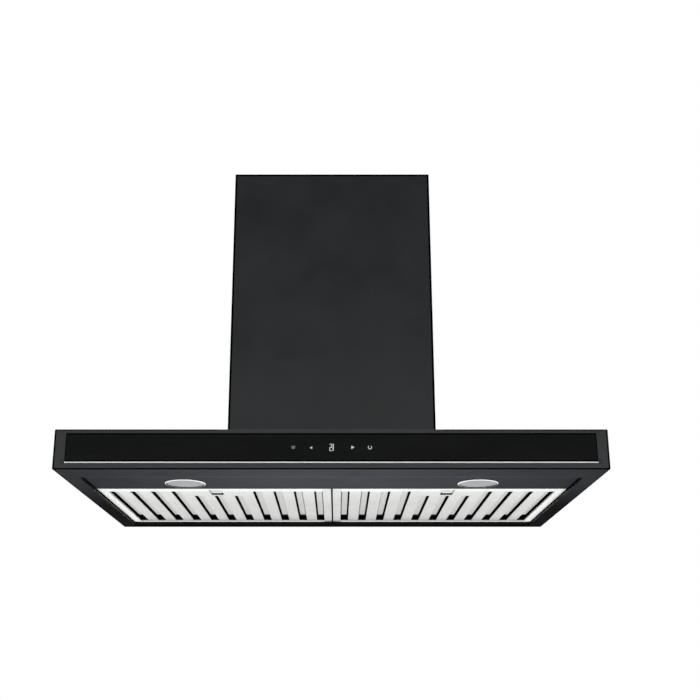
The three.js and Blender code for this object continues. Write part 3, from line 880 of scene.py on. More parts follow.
# Painted shade: the recessed channels take a darker steel that also darkens towards the rear.
SHADED_CHANNEL = BrushedSheet(
    "brushed_stainless_channel",
    "baffle_steel",
    "cccccb",
    "dededd",
    0.36,
    1.0,
    0.8 * MM,
    fade=(-0.24, 0.1, 0.78),
)
POLISHED = BrushedSheet(
    "polished_stainless_trim",
    "polished_steel",
    "ececea",
    "f6f6f4",
    0.14,
    1.0,
    1.5 * MM,
    0.005 * MM,
    stretch=(0.02, 1.0, 1.0),
    spread=0.02,
)
TRIM = replace(
    POLISHED, name="satin_polished_trim", low="eeeeec", high="f8f8f6", roughness=0.3, relief=0.001 * MM
)
ZINC = Galvanised("hot_dip_galvanised_sheet", "galvanised_steel", "7f8487", "b4b9bb", 0.48, 0.9, 9 * MM)
SPRING = BrushedSheet("drawn_spring_wire", "spring_steel", "6f7276", "a8abae", 0.3, 1.0, 0.5 * MM)
BLACK_ABS = Moulded("moulded_black_abs", "black_plastic", "161617", "202021", 0.5, grain=0.9 * MM)
GREY_ABS = Moulded("moulded_grey_abs", "grey_plastic", "7f8284", "989b9d", 0.48, grain=0.9 * MM)
CASTING = Moulded(
    "grey_lacquered_casting", "motor_case", "5d6062", "7b7e80", 0.42, 0.3, 1.6 * MM, 0.05 * MM
)
SHEATH = Moulded("grey_pvc_sheath", "cable_sheath", "3f4042", "555658", 0.55, grain=0.8 * MM)
BOARD = SolderMask("green_solder_mask", "circuit_board", "1f4a35", "2f6a4b", 0.4, grain=0.8 * MM)
MARK = LitPrint("lit_touch_mark", "lamp_glass", "6a6d6f", "c8cccf", 0.35, grain=2 * MM, glow=0.42)
DIM_MARK = LitPrint("dim_touch_mark", "lamp_glass", "6a6d6f", "6a6d6f", 0.35, grain=2 * MM, glow=0.2)


def place_piece(
    obj: bpy.types.Object, body: str, finish: Finish, *nodes: str, keep_slots: bool = False
) -> bpy.types.Object:
    """Shades, dresses and hands over one finished piece.

    Args:
        obj: The piece.
        body: The body that it rides on.
        finish: Its finish.
        *nodes: The frame's nodes that it stands for.
        keep_slots: True where the piece already has its materials.

    Returns:
        The same piece.
    """
    smooth(obj)
    if not keep_slots:
        finish.dress(obj)
    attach(obj, body)
    if nodes:
        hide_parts(*nodes)
    log.info("%s rides on %s, %d faces", obj.name, body, len(obj.data.polygons))
    return obj


def paint_faces(
    obj: bpy.types.Object, finish: Finish, test: Callable[[bpy.types.MeshPolygon], bool]
) -> None:
    """Gives some faces of a dressed object a second finish.

    Args:
        obj: The object.
        finish: The finish of those faces.
        test: Takes a face and says whether it gets the finish.
    """
    obj.data.materials.append(finish.material())
    index = len(obj.data.materials) - 1
    for face in obj.data.polygons:
        if test(face):
            face.material_index = index


def is_fold(face: bpy.types.MeshPolygon) -> bool:
    """Whether a face belongs to a rounded fold, and so leans between the main directions."""
    return max(abs(c) for c in face.normal) < LEANING


# ---- the screws that hold it together -----------------------------------------------------


@dataclass
class Screws:
    """Pan-head screws with a cross recess, modelled once and copied.

    Attributes:
        radius: The head's radius.
        height: The head's height.
        slot: The width of the cross recess.
    """

    radius: float = 3.6 * MM
    height: float = 2.0 * MM
    slot: float = 0.9 * MM

    def head(self) -> bpy.types.Object:
        """Shapes one head that stands on z = 0, with its recess upwards."""
        head = lathe(
            "screw_head",
            [
                (0, -0.2 * MM),
                (self.radius, -0.2 * MM),
                (self.radius, self.height * 0.35),
                (self.radius * 0.86, self.height * 0.75),
                (self.radius * 0.5, self.height * 0.96),
                (0, self.height),
            ],
            (0, 0, 0),
            sides=20,
        )
        reach = self.radius * 0.55
        top = self.height * 1.4
        cross = [
            cuboid("slot", (-a, -b, self.height * 0.35), (a, b, top))
            for a, b in ((reach, self.slot / 2), (self.slot / 2, reach))
        ]
        return carve(head, *cross)

    def set_of(
        self, name: str, body: str, places: list[tuple[Point, Point]], finish: Finish
    ) -> bpy.types.Object:
        """Puts a screw at each place and makes them one piece.

        Args:
            name: The piece's name.
            body: The body that the screws ride on.
            places: For each screw, the point under its head and the way that it faces.
            finish: The screws' finish.

        Returns:
            The piece.
        """
        master = self.head()
        made = []
        for number, (at, facing) in enumerate(places):
            screw = copy_of(master, f"{name}_{number}")
            spin = Matrix.Rotation(math.radians(23 * number), 4, "Z")
            turn = Vector((0, 0, 1)).rotation_difference(Vector(facing)).to_matrix().to_4x4()
            screw.matrix_world = Matrix.Translation(at) @ turn @ spin
            made.append(settle(screw))
        remove(master)
        return place_piece(join(name, *made), body, finish)


# ---- canopy -------------------------------------------------------------------------------


@dataclass
class Canopy:
    """The folded canopy: a box of 1.5 mm sheet, open below inside a rim.

    Attributes:
        sheet: The sheet's thickness.
        fold: The radius outside a fold.
        rim_side: The width of the flat rim at the sides and the rear.
        rim_front: The width of the flat rim at the front.
        lip: How far the rim's inner edge turns up.
        intake: Half the sides of the air intake in the top.
        band: How far the painted shade, a near-black coat, reaches past the middle of a fold.
        edge: The same at the upright folds, which are rounder.
        foot: Half the width of the top's front fold, before the chimney, that takes the lighter matt
            coat, a painted highlight line, in place of the painted shade.
        hem: The width of the painted highlight, a brighter band, along the front opening's edge.
        play: The gap round a piece that stands in an opening.
        hook: The width of the slots for the strip's upturned ends.
        gland: The radius of the hole for the cable gland.
        lamp: The radius of the lamps' holes.
        room: The gap beside the filters and before them.
        ledge: How far the pan's rear edge, which carries the filters, reaches under them.
        screw: How far the pan's screws stand from the middle, and behind its front edge.
        skin: The little by which one face has to stand clear of another.
    """

    sheet: float = 1.5 * MM
    fold: float = 1.6 * MM
    rim_side: float = 28.5 * MM
    rim_front: float = 65 * MM
    lip: float = 3.7 * MM
    intake: tuple[float, float] = (150 * MM, 112 * MM)
    band: float = 2.1 * MM
    edge: float = 3.2 * MM
    foot: float = 184 * MM
    hem: float = 7 * MM
    play: float = 0.35 * MM
    hook: float = 3 * MM
    gland: float = 6.4 * MM
    lamp: float = 31 * MM
    room: Span = (0.8 * MM, 1 * MM)
    ledge: float = 8.6 * MM
    screw: Span = (400 * MM, 22 * MM)
    skin: float = 0.2 * MM

    def build(self) -> None:
        """Builds the shell, the light pan and the pan's screws."""
        self.shell()
        self.light_pan()
        self.screws()

    def shell(self) -> None:
        """Shapes the shell: a rounded block, hollowed, with its openings cut."""
        low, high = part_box("canopy_shell")
        t = self.sheet
        shell = cuboid("canopy_sheet", low, high)
        round_edges(shell, self.fold, 3)
        hollow = cuboid("hollow", (low.x + t, low.y + t, low.z + t), (high.x - t, high.y - t, high.z - t))
        mouth = self.mouth(low, high)
        glass_low, glass_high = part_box("glass_panel")
        strip_low, strip_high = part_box("trim_strip")
        play = self.play
        window = cuboid(
            "window",
            (glass_low.x - play, low.y - t, strip_low.z - play),
            (glass_high.x + play, low.y + t + play, glass_high.z + play),
        )
        half = self.hook / 2
        hooks = [
            cuboid(
                "hook_slot",
                (x - half - play, low.y - t, strip_low.z - play),
                (x + half + play, low.y + t + play, strip_high.z + play),
            )
            for x in (strip_low.x + half, strip_high.x - half)
        ]
        intake = cuboid(
            "intake",
            (-self.intake[0], -self.intake[1], high.z - 2 * t),
            (self.intake[0], self.intake[1], high.z + t),
        )
        gland_low, gland_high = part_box("cable_gland")
        middle = (gland_low + gland_high) / 2
        gland = rod("gland_hole", self.gland, (-3 * t, 3 * t), (middle.x, middle.y, high.z), sides=24)
        carve(shell, hollow)
        carve(shell, mouth)
        carve(shell, window, *hooks)
        carve(shell, intake, gland)
        band = self.band
        with editing(shell):
            side = high.x - self.rim_side
            slice_sheet(
                [low.x + self.edge, -side, -self.foot, self.foot, side, high.x - self.edge],
                [low.y + self.rim_front - self.hem, low.y + self.rim_front - self.skin],
                [low.z + band, high.z - band],
            )
        PAINT.dress(shell)

        def beside_fold(face: bpy.types.MeshPolygon) -> bool:
            """Whether an upright face lies along a fold."""
            level = min(face.center.z - low.z, high.z - face.center.z)
            return abs(face.normal.y) > LEVEL and (
                abs(face.center.x) > high.x - self.edge or level < band
            )

        def before_chimney(face: bpy.types.MeshPolygon) -> bool:
            """Whether a face lies on the top's front fold, before the chimney."""
            return abs(face.center.x) < self.foot and face.center.z > high.z - 1.5 * band

        # Painted shade: the folds and the upright faces beside them take the near-black coat. The top's
        # front fold before the chimney takes the lighter matt coat instead, a painted highlight line.
        paint_faces(shell, BLACK_AND_FOLD_SHADE, lambda f: (is_fold(f) or beside_fold(f)) and not before_chimney(f))
        paint_faces(shell, SHADED_UNDERSIDE, lambda f: is_fold(f) and before_chimney(f))
        self.paint_underside(shell, low)
        lip = self.turned_lip(low, high)
        tray = self.tray(low)
        # The lip takes a coat that is painted lighter than the rim and painted dark towards the rear; the
        # tray takes the black primer.
        for part, finish in ((lip, LIP_LIGHT_AND_SHADE), (tray, PRIMER_AND_SHADE)):
            finish.dress(part)
        place_piece(
            join("canopy_sheet", shell, lip, tray), "canopy", PAINT, "canopy_shell", keep_slots=True
        )

    def mouth(self, low: Vector, high: Vector) -> bpy.types.Object:
        """The block that opens the canopy below, inside its rim."""
        return cuboid(
            "mouth",
            (low.x + self.rim_side, low.y + self.rim_front, low.z - self.sheet),
            (high.x - self.rim_side, high.y - self.rim_side, low.z + 2 * self.sheet),
        )

    def paint_underside(self, shell: bpy.types.Object, low: Vector) -> None:
        """Gives the rim's lower face the matt coat with painted shade, a painted highlight along the
        front opening's edge and a near-black painted outline at the sides, and the inside its thin
        primer.

        Args:
            shell: The shell.
            low: Its lowest corner.
        """
        inner = low.y + self.rim_front

        def below(face: bpy.types.MeshPolygon) -> bool:
            """Whether a face belongs to the rim's lower face."""
            return face.normal.z < -FLAT and face.center.z < low.z + self.play

        side = -low.x - self.rim_side
        # Painted shade: the rim's lower face takes the matt coat that darkens towards the rear and the
        # sides.
        paint_faces(shell, SHADED_UNDERSIDE, below)
        # Painted shade: the side rims take a coat that darkens sooner towards the rear.
        paint_faces(
            shell,
            RIM_SHADE,
            lambda f: below(f) and abs(f.center.x) > side and f.center.y < -low.y - self.rim_side,
        )
        # Painted shade: a near-black outline along the rim's lower face at the sides.
        paint_faces(shell, BLACK_AND_FOLD_SHADE, lambda f: below(f) and abs(f.center.x) > -low.x - self.edge)
        # Painted highlight: a lighter strip along the front opening's edge.
        paint_faces(
            shell,
            HEM_HIGHLIGHT,
            lambda f: below(f)
            and inner - self.hem < f.center.y < inner
            and abs(f.center.x) < side,
        )
        t = self.sheet

        def inside(face: bpy.types.MeshPolygon) -> bool:
            """Whether a face lies inside the canopy."""
            depth = min(
                abs(abs(face.center.x) - (abs(low.x) - t)), abs(abs(face.center.y) - (abs(low.y) - t))
            )
            roof = face.normal.z < -LEVEL and face.center.z > low.z + self.play
            floor = face.normal.z > LEVEL and face.center.z < low.z + 3 * t
            return depth < self.skin or roof or floor

        paint_faces(shell, PRIMER_AND_SHADE, inside)

    def turned_lip(self, low: Vector, high: Vector) -> bpy.types.Object:
        """Shapes the rim's inner edge, which turns up to carry the light pan.

        Args:
            low: The shell's lowest corner.
            high: The shell's highest corner.

        Returns:
            The lip.
        """
        x = high.x - self.rim_side
        y0, y1 = low.y + self.rim_front, high.y - self.rim_side
        lip = plane("lip", (-x, x), (y0, y1), low.z + self.skin)
        with editing(lip):
            pick(lip, "EDGE", lambda edge: True)
            bpy.ops.mesh.extrude_edges_move(TRANSFORM_OT_translate=lift(self.lip - 2 * self.skin))
            pick(lip, "FACE", lambda face: abs(face.normal.z) > 0.5)
            bpy.ops.mesh.delete(type="FACE")
            pick(lip, "FACE", lambda face: True)
            bpy.ops.mesh.normals_make_consistent(inside=False)
        shape(lip, "SOLIDIFY", thickness=self.sheet - 0.1 * MM, offset=1.0, use_even_offset=True)
        return round_edges(lip, 0.3 * MM, 2)

    def tray(self, low: Vector) -> bpy.types.Object:
        """Shapes the shallow tray that backs the glass, with the window for the touch board.

        Args:
            low: The shell's lowest corner.

        Returns:
            The tray.
        """
        glass_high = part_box("glass_panel")[1]
        strip_low, strip_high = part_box("trim_strip")
        t = self.sheet
        x = strip_high.x + PAST
        y = glass_high.y + GAP
        z0, z1 = strip_low.z - PAST, glass_high.z + GAP
        tray = cuboid("tray", (-x - t, low.y + t + 0.1 * MM, z0 - t), (x + t, y + t, z1 + t))
        pocket = cuboid("pocket", (-x, low.y - t, z0), (x, y, z1))
        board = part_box("touch_board")
        window = cuboid(
            "board_window",
            (board[0].x - 5 * MM, y - t, board[0].z - 2 * MM),
            (board[1].x + 5 * MM, y + 2 * t, board[1].z + 2 * MM),
        )
        carve(tray, pocket)
        return carve(tray, window)

    def light_pan(self) -> None:
        """Shapes the recessed pan that carries the lamps and frames the filters."""
        low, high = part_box("light_pan")
        filter_low, filter_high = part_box("filter_frame_left")
        right_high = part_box("filter_frame_right")[1]
        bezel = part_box("lamp_bezel_left")
        lamp_y = (bezel[0].y + bezel[1].y) / 2
        pan = cuboid("lamp_pan", low, high)
        opening = cuboid(
            "opening",
            (filter_low.x - self.room[0], filter_low.y - self.room[1], low.z - PAST),
            (right_high.x + self.room[0], filter_high.y - self.ledge, high.z + PAST),
        )
        through = (low.z - high.z, high.z - low.z + MM)
        holes = [
            rod("hole", self.lamp, through, ((b[0].x + b[1].x) / 2, lamp_y, low.z), sides=64)
            for b in (bezel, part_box("lamp_bezel_right"))
        ]
        carve(pan, opening, *holes)
        round_edges(pan, 0.35 * MM, 2, 50)
        side = right_high.x
        with editing(pan):
            slice_sheet([-side, side], [])
        # Painted shade: the pan's coat darkens towards the rear and the sides, and beyond the filters'
        # sides it takes the near-black coat, a dark outline.
        SHADED_UNDERSIDE.dress(pan)
        paint_faces(pan, BLACK_AND_FOLD_SHADE, lambda f: abs(f.center.x) > side)
        place_piece(pan, "canopy", SHADED_UNDERSIDE, "light_pan", keep_slots=True)

    def screws(self) -> None:
        """Puts in the three screws along the pan's front edge."""
        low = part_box("light_pan")[0]
        x, y = self.screw
        places = [((at, low.y + y, low.z), (0, 0, -1)) for at in (-x, 0, x)]
        Screws(3.2 * MM, 1.4 * MM).set_of("pan_screws", "canopy", places, BLACK_AND_FOLD_SHADE)


@dataclass
class ControlPanel:
    """The glass front with its lit touch marks, and the polished strip below it.

    Attributes:
        pitch: How far the inner and the outer marks stand from the middle.
        icon: The width of a mark.
        digit: The width and height of one digit.
        stroke: The width of a digit's bars.
        drop: How far the row of marks stands below the glass's middle.
        proud: How far the marks' print stands in front of the glass.
        seal: The height of the near-black painted shade along the glass's long edges, half that at its
            ends.
        hook: The width of the strip's upturned ends.
        tip: How much of the strip beside them is painted.
        foot: The height of the strip's painted lower edge.
    """

    pitch: tuple[float, float] = (33.2 * MM, 62.6 * MM)
    icon: float = 6.4 * MM
    digit: tuple[float, float] = (4.0 * MM, 12 * MM)
    stroke: float = 1.3 * MM
    drop: float = 0.3 * MM
    proud: float = 0.12 * MM
    seal: float = 2.0 * MM
    hook: float = 3 * MM
    tip: float = 1.8 * MM
    foot: float = 0.8 * MM

    def build(self) -> None:
        """Builds the glass, the strip and the marks."""
        low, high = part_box("glass_panel")
        glass = cuboid("glass_front", low, high)
        round_edges(glass, 0.5 * MM, 2)
        rim = self.seal / 2
        with editing(glass):
            slice_sheet([low.x + rim, high.x - rim], [], [low.z + self.seal, high.z - self.seal])
        GLASS.dress(glass)
        # Painted shade: a near-black band along the glass's edges.
        paint_faces(
            glass,
            BLACK_AND_FOLD_SHADE,
            lambda f: f.center.z < low.z + self.seal
            or f.center.z > high.z - self.seal
            or abs(f.center.x) > high.x - rim,
        )
        place_piece(glass, "canopy", GLASS, "glass_panel", keep_slots=True)
        self.strip()
        self.marks(low, high)

    def strip(self) -> None:
        """Shapes the strip: a flat bar whose ends turn up round the glass's corners."""
        low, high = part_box("trim_strip")
        glass_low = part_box("glass_panel")[0]
        top = glass_low.z - GAP
        hook = self.hook
        strip = cuboid("polished_strip", low, (high.x, high.y, top))
        with editing(strip):
            slice_sheet([low.x + hook, high.x - hook], [])
            pick(
                strip,
                "FACE",
                lambda f: f.normal.z > LEVEL and abs(f.calc_center_median().x) > high.x - hook,
            )
            bpy.ops.mesh.extrude_region_move(TRANSFORM_OT_translate=lift(high.z - top))
        round_edges(strip, 0.65 * MM, 4)
        bright = high.x - hook - self.tip
        level = low.z + self.foot
        with editing(strip):
            slice_sheet([-bright, bright], [], [level])
        TRIM.dress(strip)
        paint_faces(strip, PAINT, lambda f: abs(f.center.x) > bright or f.center.z < level)
        place_piece(strip, "canopy", TRIM, "trim_strip", keep_slots=True)

    def marks(self, low: Vector, high: Vector) -> None:
        """Lays out the four marks and the display.

        Args:
            low: The glass's lowest corner.
            high: The glass's highest corner.
        """
        y = (low.y - self.proud, low.y + GAP)
        z = (low.z + high.z) / 2 - self.drop
        near, far = self.pitch
        place_piece(self.speed_mark(MM - far, y, z), "canopy", DIM_MARK)
        place_piece(self.pointer("mark_less", MM - near, y, z - 0.6 * MM, -1), "canopy", MARK)
        place_piece(self.display(1.3 * MM, y, z), "canopy", MARK)
        place_piece(self.pointer("mark_more", MM + near, y, z, 1.25), "canopy", MARK)
        place_piece(self.power_mark(far, y, z), "canopy", MARK)

    def bar(self, x: Span, y: Span, z: Span) -> bpy.types.Object:
        """One printed bar with softened corners."""
        return round_edges(cuboid("bar", (x[0], y[0], z[0]), (x[1], y[1], z[1])), 0.15 * MM, 1)

    def speed_mark(self, x: float, y: Span, z: float) -> bpy.types.Object:
        """Three bars, the widest on top, for the fan's speed."""
        bars = []
        for row in (1, 0, -1):
            half = self.icon * (0.46 + 0.08 * row)
            middle = z + row * self.icon * 0.28
            bars.append(self.bar((x - half, x + half), y, (middle - 0.65 * MM, middle + 0.65 * MM)))
        return join("mark_speed", *bars)

    def pointer(self, name: str, x: float, y: Span, z: float, size: float) -> bpy.types.Object:
        """A small triangle that points left for less or right for more.

        Args:
            name: The mark's name.
            x: Its middle along X.
            y: How deep the print is.
            z: Its middle's height.
            size: Its size. A negative one points to the left.
        """
        mark = rod(name, self.icon * 0.42, y, (0, 0, 0), Axis.Y, 3)
        turned(mark, -90 if size > 0 else 90, "Y", (0, 0, 0))
        mark.scale = (abs(size), 1, abs(size))
        mark.location = (x, 0, z)
        return settle(mark)

    def display(self, x: float, y: Span, z: float) -> bpy.types.Object:
        """Two seven-segment digits, showing 21."""
        wide, tall = self.digit
        stroke = self.stroke
        left = x - 0.35 * MM - wide
        rows = [
            self.bar((left, left + wide), y, (level - stroke / 2, level + stroke / 2))
            for level in (z - (tall - stroke) / 2, z, z + (tall - stroke) / 2)
        ]
        columns = [
            self.bar((left, left + stroke), y, (z - tall / 2, z)),
            self.bar((left + wide - stroke, left + wide), y, (z, z + tall / 2)),
            self.bar((x + 0.9 * MM, x + 0.9 * MM + 1.4 * stroke), y, (z - tall / 2, z + tall / 2)),
        ]
        return join("mark_display", *rows, *columns)

    def power_mark(self, x: float, y: Span, z: float) -> bpy.types.Object:
        """A ring open at the top."""
        radius, stroke = self.icon * 0.42, 1.1 * MM
        ring = lathe(
            "ring",
            [
                (radius - stroke / 2, y[0]),
                (radius + stroke / 2, y[0]),
                (radius + stroke / 2, y[1]),
                (radius - stroke / 2, y[1]),
            ],
            (x, 0, z),
            Axis.Y,
            40,
        )
        reach = radius - stroke
        gap = cuboid("gap", (x - reach, y[0] - MM, z), (x + reach, y[1] + MM, z + 9 * MM))
        return join("mark_power", carve(ring, gap))


# ---- chimney ------------------------------------------------------------------------------


@dataclass
class Chimney:
    """The two rectangular covers of folded sheet, one sliding inside the other.

    Attributes:
        sheet: The sheet's thickness.
        fold: The radius outside a fold.
        band: How far the painted shade, a near-black coat, reaches past the corner of a fold.
        screw: How far the foot's screws stand from the middle, and how high.
    """

    sheet: float = 1.2 * MM
    fold: float = 2.2 * MM
    band: float = 4.0 * MM
    screw: Span = (110 * MM, 14 * MM)

    def build(self) -> None:
        """Builds both covers and their screws."""
        self.cover("lower_cover", "lower_chimney", "canopy")
        self.cover("upper_cover", "upper_chimney", "ceiling")
        self.screws()

    def cover(self, name: str, node: str, body: str) -> None:
        """Folds one cover: a ring of sheet with round corners, with painted shade, a near-black coat,
        along its corners and its top edge.

        Args:
            name: The piece's name.
            node: The frame's node that it stands for.
            body: The body that it rides on.
        """
        low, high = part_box(node)
        cover = cuboid(name, low, high)
        with editing(cover):
            pick(cover, "FACE", lambda face: abs(face.normal.z) > LEVEL)
            bpy.ops.mesh.delete(type="FACE")
            pick(cover, "EDGE", lambda edge: abs(edge.verts[0].co.z - edge.verts[1].co.z) > 0.1)
            bpy.ops.mesh.bevel(offset=self.fold, segments=4, affect="EDGES")
        shape(cover, "SOLIDIFY", thickness=self.sheet, offset=-1.0, use_even_offset=True)
        round_edges(cover, 0.25 * MM, 1, 60)
        band = self.band
        with editing(cover):
            slice_sheet([low.x + band, high.x - band], [low.y + band, high.y - band], [high.z - band])
        PAINT.dress(cover)
        # Painted shade: the corners, the folds and the top edge take the near-black coat.
        paint_faces(
            cover,
            BLACK_AND_FOLD_SHADE,
            lambda f: (abs(f.center.x) > high.x - band and abs(f.center.y) > high.y - band)
            or f.center.z > high.z - band
            or is_fold(f),
        )
        place_piece(cover, body, PAINT, node, keep_slots=True)

    def screws(self) -> None:
        """Puts in the screws that hold the lower cover's foot."""
        low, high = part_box("lower_chimney")
        y, rise = self.screw
        foot = [((side * high.x, at, low.z + rise), (side, 0, 0)) for side in (-1, 1) for at in (-y, y)]
        Screws(3.4 * MM, 1.6 * MM).set_of("foot_screws", "canopy", foot, BLACK_AND_FOLD_SHADE)


# ---- lamps --------------------------------------------------------------------------------


@dataclass
class Lamp:
    """One recessed lamp: a polished bezel round a frosted lens.

    Attributes:
        side: Which lamp it is.
        outer: The bezel's radius.
        inner: The lens's radius.
    """

    side: Side
    outer: float = 35.5 * MM
    inner: float = 29 * MM

    def build(self) -> None:
        """Builds the bezel and the lens."""
        low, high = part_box("lamp_bezel_" + self.side.label)
        at = ((low.x + high.x) / 2, (low.y + high.y) / 2, low.z - 2 * MM)
        wide = self.inner + 3.4 * MM
        bezel = lathe(
            f"lamp_ring_{self.side.label}",
            [
                (wide, 3.3 * MM),
                (wide + 0.3 * MM, 2.5 * MM),
                (wide + 0.9 * MM, 2.05 * MM),
                (self.outer - 1.6 * MM, 2.0 * MM),
                (self.outer - 0.7 * MM, 2.3 * MM),
                (self.outer - 0.1 * MM, 2.9 * MM),
                (self.outer, 3.7 * MM),
                (30.6 * MM, 3.7 * MM),
                (30.6 * MM, 14 * MM),
                (self.inner, 14 * MM),
                (self.inner, 3.3 * MM),
            ],
            at,
            sides=96,
        )
        POLISHED.dress(bezel)
        # Painted shade: the bezel's inner bevel and bore take the near-black primer.
        inner = wide + 0.7 * MM
        paint_faces(
            bezel, PRIMER_AND_SHADE, lambda f: math.hypot(f.center.x - at[0], f.center.y - at[1]) < inner
        )
        place_piece(bezel, "canopy", POLISHED, "lamp_bezel_" + self.side.label, keep_slots=True)
        lens = lathe(
            f"lamp_cover_{self.side.label}",
            [
                (0, 2.25 * MM),
                (10 * MM, 2.3 * MM),
                (20 * MM, 2.5 * MM),
                (27 * MM, 2.75 * MM),
                (31 * MM, 3.0 * MM),
                (wide - 0.2 * MM, 3.15 * MM),
                (self.inner - 0.4 * MM, 3.25 * MM),
                (self.inner - 0.4 * MM, 7 * MM),
                (0, 7 * MM),
            ],
            at,
            sides=96,
        )
        finish = OpalLens(
            f"frosted_lens_{self.side.label}",
            "lamp_glass",
            "868b8d",
            "9da2a4",
            0.42,
            grain=2 * MM,
            centre=at,
        )
        place_piece(lens, "canopy", finish, "lamp_lens_" + self.side.label)


# ---- baffle filters -----------------------------------------------------------------------


@dataclass
class BaffleFilter:
    """One cassette filter: a folded frame, a slotted lower sheet, channels above its gaps.

    Attributes:
        side: Which filter it is.
        sheet: The sheet's thickness.
        gaps: How many air gaps it has.
        pitch: The distance between two gaps.
        gap: The width of a gap.
        channel: The width of a channel.
        rise: From the slats' lower face to the channels' lower face.
        lean: How far the channels stand off the gaps' middles, towards the hood's middle.
        border: The frame's border at the front, the rear and the sides.
        latch_zone: The middle gaps start this far behind the front edge.
        slot_end: The latch's slot ends this far behind the front edge.
        bolt_end: The latch's bolt ends this far behind the front edge.
        hem: How high a gap's edges are turned up.
        fold: The radius outside a fold.
        seam: How far the frame stands back from the other filter.
        overlap: How far the gaps run over the frame's border.
        slot_half: Half the width of the latch's slot in the frame.
        slot_start: The slot begins this far behind the front edge.
        tongue: How far the tongues reach behind the frame.
        tongue_half: Half a tongue's width.
        tongue_x: How far a tongue stands from the filter's middle.
        cut: The channels end this far before the gaps' rear ends.
        wall: The height of a channel's walls.
        plate: How high the bolt's two faces are above the frame's lower face.
        wire: The radius of the spring's wire.
        keep: The share of its length that the spring keeps when the bolt is pulled. Not used.
        lead: They begin this far behind the gaps' front ends.
        rail: The depth of a rail along Y.
        rails: The first rail stands this far behind the latch zone, the second this far before
            the channels' ends.
        ear: The limits of the spring's ear along Y, behind the front edge, and half its width.
    """

    side: Side
    sheet: float = 1 * MM
    gaps: int = 11
    pitch: float = 37.3 * MM
    gap: float = 15.8 * MM
    channel: float = 12.4 * MM
    rise: float = 5.2 * MM
    lean: float = 0.8 * MM
    border: Point = (25 * MM, 15 * MM, 15.3 * MM)
    latch_zone: float = 75 * MM
    slot_end: float = 66 * MM
    bolt_end: float = 44 * MM
    hem: float = 1.3 * MM
    fold: float = 0.6 * MM
    seam: float = 0.5 * MM
    overlap: float = 4 * MM
    slot_half: float = 11.5 * MM
    slot_start: float = 10 * MM
    tongue: float = 11 * MM
    tongue_half: float = 30 * MM
    tongue_x: float = 120 * MM
    cut: float = 46 * MM
    wall: float = 4.4 * MM
    plate: Span = (2.7 * MM, 5.7 * MM)
    wire: float = 0.45 * MM
    keep: float = 0.58
    lead: float = 20 * MM
    rail: float = 12 * MM
    rails: Span = (22 * MM, 50 * MM)
    ear: Point = (2.5 * MM, 4 * MM, 3.6 * MM)

    def __post_init__(self) -> None:
        """Reads the filter's place from the frame."""
        label = self.side.label
        self.low, self.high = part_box("filter_frame_" + label)
        self.body = "filter_" + label
        self.middle = (self.low.x + self.high.x) / 2
        self.y0 = self.low.y
        self.y1 = self.high.y - self.tongue
        self.slat_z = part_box("lower_baffles_" + label)[0].z
        front, rear = (border - self.overlap for border in self.border[:2])
        self.gap_y = (self.y0 + front, self.y1 - rear)

    def build(self) -> None:
        """Builds the frame, the sheets, the latch and its spring."""
        self.frame()
        self.lower_sheet()
        self.channels()
        self.latch()
        self.spring()

    def gap_middle(self, number: int) -> float:
        """Where a gap's middle is, along X."""
        return self.middle + (number - (self.gaps - 1) / 2) * self.pitch

    def gap_start(self, number: int) -> float:
        """Where a gap begins, along Y. The middle ones leave room for the latch."""
        beside_latch = abs(number - (self.gaps - 1) / 2) <= 1
        return self.y0 + self.latch_zone if beside_latch else self.gap_y[0]

    def frame(self) -> None:
        """Folds the frame: a border below, walls up its outside, two tongues at the rear."""
        t = self.sheet
        front, rear, beside = self.border
        x0, x1 = self.low.x, self.high.x
        if self.side is Side.LEFT:
            x1 -= self.seam
        else:
            x0 += self.seam
        frame = plane("filter_rim", (x0, x1), (self.y0, self.y1), self.low.z)
        slot_x = (self.middle - self.slot_half, self.middle + self.slot_half)
        slot_y = (self.y0 + self.slot_start, self.y0 + front)
        opening = ((x0 + beside, x1 - beside), (self.y0 + front, self.y1 - rear))
        with editing(frame):
            slice_sheet([*opening[0], *slot_x], [slot_y[0], *opening[1]])
            pick(
                frame,
                "FACE",
                lambda f: within(f.calc_center_median(), *opening)
                or within(f.calc_center_median(), slot_x, slot_y),
            )
            bpy.ops.mesh.delete(type="FACE")
            near = HAIR / 2
            pick(
                frame,
                "EDGE",
                lambda e: e.is_boundary
                and (
                    min(abs(middle_of(e).x - x0), abs(middle_of(e).x - x1)) < near
                    or min(abs(middle_of(e).y - self.y0), abs(middle_of(e).y - self.y1)) < near
                ),
            )
            bpy.ops.mesh.extrude_edges_move(TRANSFORM_OT_translate=lift(self.high.z - self.low.z))
            pick(frame, "FACE", lambda face: True)
            bpy.ops.mesh.normals_make_consistent(inside=False)
        self.face_down(frame)
        shape(frame, "SOLIDIFY", thickness=t, offset=-1.0, use_even_offset=True)
        half = self.slot_half + MM
        notch = cuboid(
            "notch",
            (self.middle - half, self.y0 - t, self.low.z + 2 * t),
            (self.middle + half, self.y0 + 2 * t, self.low.z + 7 * t),
        )
        carve(frame, notch)
        round_edges(frame, 0.45 * MM, 2, 50)
        BAFFLE.dress(frame)
        paint_faces(frame, BORDER, lambda f: f.normal.z < -LEVEL and abs(f.center.x) > 1.2 * beside)
